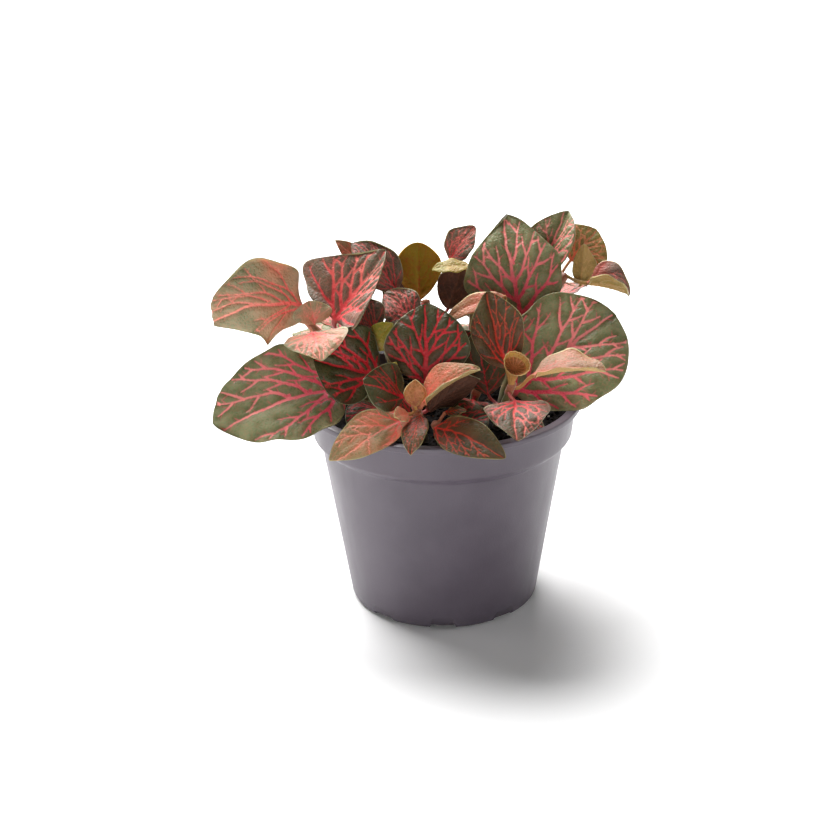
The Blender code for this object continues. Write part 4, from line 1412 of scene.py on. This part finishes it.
@dataclass
class StemSet:
    """The shoots' stems, slightly ribbed and swollen where leaves join.

    Attributes:
        stems: The stems.
        forms: The leaves that join them.
        sides: Points around a stem.
        rows: Points along a stem.
        depth: How far a stem runs down into the soil, in millimetres.
        swelling: Extra radius at a leaf joint, as a share.
        joint_length: Length of a joint, as a share of the stem.
    """

    stems: Sequence[Stem]
    forms: Sequence[LeafForm]
    sides: int = 24
    rows: int = 70
    depth: float = 13.0
    swelling: float = 0.3
    joint_length: float = 0.05

    def build(self, kit: GroupKit) -> None:
        """Build every stem and dress it."""
        material = self.finish(kit)
        for index, stem in enumerate(self.stems):
            dress(self.build_one(stem, index), material, stem.name)

    def finish(self, kit: GroupKit) -> bpy.types.Material:
        """Build the stems' material: green-brown, redder near the joints, with pale flecks."""
        material, tree, shader = new_material("stem_skin")
        cloud = tree.group(kit.mottle, Scale=260.0, Low=0.3, High=0.7).outputs[0]
        speck = tree.group(kit.mottle, Scale=1900.0, Low=0.5, High=0.8).outputs[0]
        near_soil = tree.ramp(tree.attribute("height"), 0.0, 9.0, 0.75, 0.0)
        colour = tree.mix(cloud, tone(122, 96, 52), tone(104, 108, 58))
        colour = tree.mix(tree.times(tree.attribute("joint"), 0.75), colour, tone(170, 88, 66))
        colour = tree.mix(tree.times(speck, 0.35), colour, tone(190, 172, 124))
        grain = tree.group(kit.grain, Scale=2400.0)
        tree.fill_all(shader, {
            "Base Color": tree.mix(near_soil, colour, tone(60, 44, 30)),
            "Roughness": tree.plus(tree.times(speck, 0.2), 0.5),
            "Normal": tree.bump(grain.outputs[0], 0.00018),
            "Subsurface Weight": 0.1,
            "Subsurface Radius": (1.0, 0.6, 0.2),
            "Subsurface Scale": 0.001,
            "Sheen Weight": 0.2,
        })
        return material

    def build_one(self, stem: Stem, index: int) -> bpy.types.Object:
        """Build one stem's closed mesh with the values that its material reads."""
        share = np.linspace(0.0, 1.0, self.rows)
        nodes = [form.node for form in self.forms if form.stem == stem.name]
        joint = np.max([bell(np.abs(share - node), self.joint_length) for node in nodes], axis=0)
        centres = np.array([stem_centre(stem, s) for s in share])
        radii = stem_radius(share) * (1.0 + self.swelling * joint)
        foot = centres[0] - np.array([0.0, 0.0, self.depth])
        centres = np.vstack([foot, centres, centres[-1] + 0.5 * unit(centres[-1] - centres[-2])])
        radii = np.concatenate([radii[:1], radii, [0.35 * radii[-1]]])
        joint = np.concatenate([[0.0], joint, [1.0]])
        turns = full_turn(self.sides)
        loops = []
        for row, (centre, ahead, radius) in enumerate(zip(centres, np.gradient(centres, axis=0), radii)):
            ahead = unit(ahead)
            side = unit(np.cross(ahead, (0.0, 1.0, 0.15)))
            ribs = 0.06 * np.cos(4 * turns + index) + 0.02 * np.sin(0.9 * row + 3 * turns)
            loops.append(ring(centre, radius * (1.0 + ribs), turns, side, np.cross(side, ahead)))
        loops = np.array(loops)
        item = loft(stem.name.replace("stem_", "shoot_"), loops * MM)
        write_grid(item, "joint", np.repeat(joint[:, None], self.sides, axis=1))
        write_grid(item, "height", loops[:, :, 2] - STEM_FOOT)
        return item


class Lumps(NamedTuple):
    """One kind of lump on the soil: name, number, smallest and largest radius in mm, and proportions."""

    name: str
    count: int
    sizes: tuple[float, float]
    shape: Point


@dataclass
class SoilBed:
    """Potting soil: a lumpy bed, crumbs, bark chips and white perlite grains.

    Attributes:
        rim: Soil height at the pot's wall, in metres.
        crown: How much higher the middle is, in metres.
        gap: Gap between soil and wall, in metres.
        shoulders: Height and radius where the bed's side meets the pot's step.
        root_radius: Radius of the bed's underside.
        rings: Rings of the bed.
        spokes: Points of each ring.
        seed: Seed of the lumps' places and shapes.
    """

    CRUMBS = Lumps("soil_crumbs", 1100, (0.5, 1.7), (1.0, 0.8, 0.7))
    PERLITE = Lumps("soil_perlite_grains", 36, (0.4, 0.95), (1.0, 0.9, 0.8))
    BARK = Lumps("soil_bark_chips", 120, (0.8, 2.2), (1.0, 0.35, 0.28))

    rim: float = 0.0820
    crown: float = 0.0025
    gap: float = 0.0003
    shoulders: tuple[float, float, float] = (0.0778, 0.0749, 0.0509)
    root_radius: float = 0.0391
    rings: int = 90
    spokes: int = 240
    seed: int = 5

    def radius(self) -> float:
        """Return the bed's radius, which its node gives."""
        low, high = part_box("soil")
        return (high[0] - low[0]) / 2 - self.gap

    def height(self, x: Array, y: Array) -> Array:
        """Return the bed's height at places in metres."""
        share = np.clip(np.hypot(x, y) / self.radius(), 0.0, 1.0)
        lumps = SoftNoise(self.seed, 7.0).at(x / MM, y / MM) * 0.9
        lumps = lumps + SoftNoise(self.seed + 1, 2.4).at(x / MM, y / MM) * 0.5
        return self.rim + self.crown * (1.0 - share ** 2) + (lumps - 0.8) * MM * (1.0 - 0.5 * share ** 8)

    def build(self, kit: GroupKit) -> None:
        """Build the bed with all that lies on it."""
        dark = self.finish(kit, "soil_peat", tone(22, 15, 11), tone(9, 6, 5), 900.0)
        white = self.finish(kit, "soil_perlite", tone(196, 188, 176), tone(140, 132, 120), 1500.0)
        brown = self.finish(kit, "soil_bark", tone(92, 62, 40), tone(48, 32, 22), 1300.0)
        pieces = [(self.build_bed(), dark)]
        kinds = ((self.CRUMBS, dark), (self.PERLITE, white), (self.BARK, brown))
        for index, (lumps, material) in enumerate(kinds):
            pieces.append((self.scatter(lumps, self.seed + 10 + index), material))
        for piece, material in pieces:
            dress(piece, material, "soil")

    def finish(
        self, kit: GroupKit, name: str, light: Colour, dark: Colour, scale: float
    ) -> bpy.types.Material:
        """Build one of the soil's materials.

        Args:
            kit: The shared shader groups.
            name: Name of the material.
            light: Its lighter colour.
            dark: Its darker colour.
            scale: Specks per metre.
        """
        material, tree, shader = new_material(name)
        cloud = tree.group(kit.mottle, Scale=scale * 0.3, Low=0.35, High=0.65).outputs[0]
        speck = tree.group(kit.mottle, Scale=scale, Low=0.4, High=0.7).outputs[0]
        grain = tree.group(kit.grain, Scale=1800.0, Detail=5.0)
        tree.fill_all(shader, {
            "Base Color": tree.mix(tree.times(tree.plus(cloud, speck), 0.5), dark, light),
            "Roughness": tree.plus(tree.times(speck, 0.25), 0.7),
            "Normal": tree.bump(grain.outputs[0], 0.0007),
            "Specular IOR Level": 0.08,
        })
        return material

    def build_bed(self) -> bpy.types.Object:
        """Build the lumpy bed with its side and underside."""
        radius, floor = self.radius(), float(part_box("soil")[0][2])
        turns = full_turn(self.spokes)
        loops = []
        for share in np.linspace(0.02, 1.0, self.rings):
            x, y = radius * share * np.cos(turns), radius * share * np.sin(turns)
            loops.append(np.stack([x, y, self.height(x, y)], axis=1))
        upper, lower, waist = self.shoulders
        side = ((upper, radius), (lower, waist), (floor, self.root_radius), (floor, 0.02))
        for height, out in side:
            flat = np.full(self.spokes, height)
            loops.append(np.stack([out * np.cos(turns), out * np.sin(turns), flat], axis=1))
        return loft("soil_bed", np.array(loops))

    def scatter(self, lumps: Lumps, seed: int) -> bpy.types.Object:
        """Scatter rough lumps of one kind over the bed as one mesh."""
        draw = np.random.default_rng(seed)
        corners, faces = self.ball()
        small, large = lumps.sizes
        all_points, all_faces = [], []
        for index in range(lumps.count):
            out = self.radius() * 0.97 * math.sqrt(draw.uniform())
            angle = draw.uniform(0.0, 2 * math.pi)
            size = small + (large - small) * draw.uniform() ** 2.2
            rough = corners * (1.0 + draw.uniform(-0.28, 0.28, (len(corners), 1)))
            turned = (rough * np.array(lumps.shape)) @ self.turn(draw)
            x, y = out * math.cos(angle), out * math.sin(angle)
            z = float(self.height(np.array(x), np.array(y))) + draw.uniform(-0.1, 0.45) * size * MM
            all_points.append(turned * size * MM + np.array([x, y, z]))
            all_faces.extend((faces + index * len(corners)).tolist())
        return new_mesh(lumps.name, np.vstack(all_points), all_faces)

    def ball(self) -> tuple[Array, Array]:
        """Return the corners and faces of a ball of triangles with radius one."""
        shape = bmesh.new()
        bmesh.ops.create_icosphere(shape, subdivisions=2, radius=1.0)
        shape.verts.index_update()
        corners = np.array([vert.co[:] for vert in shape.verts])
        faces = np.array([[vert.index for vert in face.verts] for face in shape.faces])
        shape.free()
        return corners, faces

    def turn(self, draw: np.random.Generator) -> Array:
        """Return a random rotation, mostly about the vertical."""
        spin, tip = draw.uniform(0.0, 2 * math.pi), draw.uniform(-0.5, 0.5)
        c, s = math.cos(spin), math.sin(spin)
        about = np.array([[c, s, 0], [-s, c, 0], [0, 0, 1]])
        c, s = math.cos(tip), math.sin(tip)
        return np.array([[1, 0, 0], [0, c, s], [0, -s, c]]) @ about


@dataclass
class NurseryPot:
    """The moulded pot, turned in one piece with softened edges and open drain slots.

    Attributes:
        lip_height: Height of the lip's band.
        collar_top: Outer radius under the lip.
        collar_foot: Outer radius at the collar's lower edge.
        collar_foot_height: Height of that edge.
        wall_top: Outer radius under the collar's step.
        wall_top_height: Height of that place.
        foot: Outer radius at the base.
        wall: Wall thickness.
        centre: Radius of the small disc that closes the base.
        slots: Number of drain slots.
        slot_turn: Direction of the first slot in degrees.
        slot_width: Width of a slot.
        slot_depth: How far a slot runs in under the base.
        slot_height: Height of a slot.
        slot_rounding: Rounding of a slot's upper edges.
        steps: Points around the pot.
        run: Greatest distance between points along the profile.
    """

    CUT_PAST = 0.004
    ROUND_STEPS = 6

    lip_height: float = 0.0026
    collar_top: float = 0.0574
    collar_foot: float = 0.0559
    collar_foot_height: float = 0.0764
    wall_top: float = 0.0526
    wall_top_height: float = 0.0735
    foot: float = 0.0406
    wall: float = 0.0014
    centre: float = 0.004
    slots: int = 9
    slot_turn: float = -91.0
    slot_width: float = 0.0110
    slot_depth: float = 0.0070
    slot_height: float = 0.0020
    slot_rounding: float = 0.0006
    steps: int = 240
    run: float = 0.004

    def build(self, kit: GroupKit) -> None:
        """Build the pot and dress it."""
        low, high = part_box("pot")
        lip, top = (high[0] - low[0]) / 2, float(high[2])
        corners = [
            (self.centre, 0.0, 0.0),
            (self.foot - 0.0012, 0.0, 0.0012), (self.foot + 0.0002, 0.0012, 0.0008),
            (self.wall_top, self.wall_top_height, 0.0008),
            (self.collar_foot, self.collar_foot_height, 0.0010),
            (self.collar_top, top - self.lip_height, 0.0004),
            (lip, top - self.lip_height, 0.0005), (lip, top, 0.0008),
            (self.collar_top - self.wall, top, 0.0006),
            (self.collar_foot - self.wall, self.collar_foot_height + self.wall, 0.0010),
            (self.wall_top - self.wall, self.wall_top_height + self.wall, 0.0008),
            (self.foot - self.wall, self.wall, 0.0010), (self.centre, self.wall, 0.0),
        ]
        turns = full_turn(self.steps)
        loops = [[(r * math.cos(t), r * math.sin(t), z) for t in turns] for r, z in self.soften(corners)]
        pot = loft("pot_shell", np.array(loops), mapped=False)
        self.cut_slots(pot)
        dress(pot, self.finish(kit), "pot")

    def soften(self, corners: Sequence[Point]) -> list[tuple[float, float]]:
        """Round each corner of a profile of (radius, height, rounding) and add points along long runs."""
        points = [corners[0][:2]]
        for before, (x, y, rounding), after in zip(corners, corners[1:-1], corners[2:]):
            here = np.array([x, y])
            start, end = (
                here + unit(gap) * min(rounding, np.linalg.norm(gap) / 2.2)
                for gap in (np.array(before[:2]) - here, np.array(after[:2]) - here)
            )
            points += [tuple(bend(start, here, end, t)) for t in np.linspace(0.0, 1.0, self.ROUND_STEPS)]
        points.append(corners[-1][:2])
        runs = []
        for (x0, y0), (x1, y1) in zip(points[:-1], points[1:]):
            parts = max(1, int(math.hypot(x1 - x0, y1 - y0) / self.run))
            runs.extend((x0 + (x1 - x0) * k / parts, y0 + (y1 - y0) * k / parts) for k in range(parts))
        return runs + [points[-1]]

    def cut_slots(self, pot: bpy.types.Object) -> None:
        """Cut the drain slots through the bottom edge."""
        blocks = bmesh.new()
        reach = self.foot - self.slot_depth / 2 + self.CUT_PAST / 2
        size = Matrix.Diagonal((self.slot_depth + self.CUT_PAST, self.slot_width, 2 * self.slot_height, 1.0))
        for index in range(self.slots):
            angle = math.radians(self.slot_turn + index * 360.0 / self.slots)
            place = Matrix.Rotation(angle, 4, "Z") @ Matrix.Translation((reach, 0.0, 0.0)) @ size
            bmesh.ops.create_cube(blocks, size=1.0, matrix=place)
        edges = [edge for edge in blocks.edges if abs(edge.verts[0].co.z - edge.verts[1].co.z) < MM]
        upper = [edge for edge in edges if edge.verts[0].co.z > 0.0]
        rounding = {"offset": self.slot_rounding, "segments": 3, "profile": 0.5}
        bmesh.ops.bevel(blocks, geom=upper, affect="EDGES", **rounding)
        mesh = bpy.data.meshes.new("slot_blocks")
        blocks.to_mesh(mesh)
        blocks.free()
        cutter = bpy.data.objects.new("slot_blocks", mesh)
        bpy.context.scene.collection.objects.link(cutter)
        cut = pot.modifiers.new("slots", "BOOLEAN")
        cut.operation = "DIFFERENCE"
        cut.object = cutter
        done = bpy.data.meshes.new_from_object(pot.evaluated_get(bpy.context.evaluated_depsgraph_get()))
        pot.modifiers.clear()
        pot.data = done
        bpy.data.objects.remove(cutter)

    def finish(self, kit: GroupKit) -> bpy.types.Material:
        """Build the pot's plastic: satin, with moulding grain, faint scuffs and soil dust near the lip."""
        material, tree, shader = new_material("pot_satin_plastic")
        cloud = tree.group(kit.mottle, Scale=45.0, Low=0.3, High=0.7).outputs[0]
        speck = tree.group(kit.mottle, Scale=2600.0, Low=0.5, High=0.85).outputs[0]
        dust = tree.group(kit.mottle, Scale=700.0, Low=0.62, High=0.75).outputs[0]
        place = tree.place()
        height = tree.add("SeparateXYZ", {0: place}).outputs["Z"]
        near_lip = tree.ramp(height, self.wall_top_height, 0.092, 0.0, 0.3)
        colour = tree.mix(cloud, tone(77, 69, 79), tone(84, 76, 86))
        colour = tree.mix(tree.times(speck, 0.12), colour, tone(120, 112, 122))
        scuff = tree.add("VectorMath", {0: place, 1: (1.0, 1.0, 0.12)}, operation="MULTIPLY").outputs[0]
        streak = tree.add("TexNoise", {"Vector": scuff, "Scale": 260.0, "Detail": 3.0}).outputs[0]
        rough = tree.plus(tree.times(streak, 0.16), 0.34)
        grain = tree.group(kit.grain, Scale=1500.0)
        tree.fill_all(shader, {
            "Base Color": tree.mix(tree.times(dust, near_lip), colour, tone(70, 58, 52)),
            "Roughness": tree.plus(rough, tree.times(speck, 0.06)),
            "Normal": tree.bump(grain.outputs[0], 0.00006),
            "Specular IOR Level": 0.5,
        })
        return material


@dataclass
class Studio:
    """Pale floor, soft light and the camera.

    Attributes:
        distance: Camera's distance in front of the pot's axis.
        height: Camera's height.
        pitch: How far the camera looks down, in degrees.
        yaw: Turn of the camera to the left, in radians.
        roll: Roll of the camera, in radians.
        lens: Focal length in millimetres on a sensor 36 mm wide.
        floor: Half the floor's side.
        gap: How far the floor lies under the pot.
        aim: Height of the point that the lights face.
    """

    LIGHTS = (
        ("top", (-0.35, 0.8, 1.2), 1.5, 70.0),
        ("front", (-0.3, -1.7, 0.28), 1.0, 13.0),
        ("right", (1.4, 0.25, 0.4), 0.7, 4.0),
        ("left", (-1.4, 0.1, 0.4), 0.7, 2.0),
    )
    WHITE = (1.0, 1.0, 1.0)
    PALE = (0.93, 0.93, 0.93)

    distance: float = 0.8104
    height: float = 0.4193
    pitch: float = 22.7
    yaw: float = 0.012
    roll: float = -0.0151
    lens: float = 87.06
    floor: float = 6.0
    gap: float = 0.0002
    aim: float = 0.08

    def build(self) -> None:
        """Set up floor, light and camera."""
        self.build_camera()
        self.build_floor()
        self.build_room()
        self.build_lights()
        bpy.context.scene.view_settings.view_transform = "Standard"

    def build_camera(self) -> None:
        """Place the camera."""
        camera = bpy.data.objects.new("camera", bpy.data.cameras.new("camera"))
        bpy.context.scene.collection.objects.link(camera)
        camera.data.lens = self.lens
        camera.data.sensor_width = 36.0
        camera.data.clip_start = 0.05
        camera.data.clip_end = 50.0
        turn = Matrix.Rotation(math.radians(90.0 - self.pitch), 4, "X") @ Matrix.Rotation(self.roll, 4, "Z")
        turn = Matrix.Rotation(self.yaw, 4, "Z") @ turn
        camera.matrix_world = Matrix.Translation((0.0, -self.distance, self.height)) @ turn
        bpy.context.scene.camera = camera

    def build_floor(self) -> None:
        """Lay the floor just under the pot, with a glow far out that hides its edge."""
        corners = [(-1, -1), (1, -1), (1, 1), (-1, 1)]
        points = np.array([(x * self.floor, y * self.floor, -self.gap) for x, y in corners])
        floor = new_mesh("studio_floor", points, [(0, 1, 2, 3)])
        material, tree, shader = new_material("studio_floor")
        reach = tree.add("VectorMath", {0: tree.place()}, operation="LENGTH").outputs["Value"]
        tree.fill_all(shader, {
            "Base Color": self.PALE,
            "Roughness": 0.9,
            "Specular IOR Level": 0.1,
            "Emission Color": self.WHITE,
            "Emission Strength": tree.ramp(reach, 0.4, 1.6, 0.0, 0.9),
        })
        floor.data.materials.append(material)

    def build_room(self) -> None:
        """Fill the room with pale light that looks brighter than it shines."""
        world = bpy.data.worlds.new("studio_room")
        bpy.context.scene.world = world
        world.use_nodes = True
        tree = Tree(world.node_tree)
        seen = tree.add("LightPath").outputs["Is Camera Ray"]
        backdrop = world.node_tree.nodes["Background"]
        tree.fill_all(backdrop, {"Color": self.WHITE, "Strength": tree.ramp(seen, 0.0, 1.0, 0.1, 1.0)})

    def build_lights(self) -> None:
        """Hang the soft lights."""
        for name, place, size, power in self.LIGHTS:
            data = bpy.data.lights.new(f"studio_{name}", "AREA")
            data.shape = "DISK"
            data.size = size
            data.energy = power
            lamp = bpy.data.objects.new(data.name, data)
            lamp.location = place
            ahead = Vector((0.0, 0.0, self.aim)) - Vector(place)
            lamp.rotation_euler = ahead.to_track_quat("-Z", "Y").to_euler()
            bpy.context.scene.collection.objects.link(lamp)


def main() -> None:
    """Build the studio, the pot and the plant in order."""
    logging.basicConfig(level=logging.INFO, format="%(message)s")
    Studio().build()
    kit = GroupKit()
    NurseryPot().build(kit)
    SoilBed().build(kit)
    StemSet(STEMS, LEAVES + INNER_LEAVES).build(kit)
    Foliage(LEAVES).build(kit)
    Foliage(INNER_LEAVES, first_seed=71, stand_in=False).build(kit)


if __name__ == "__main__":
    main()
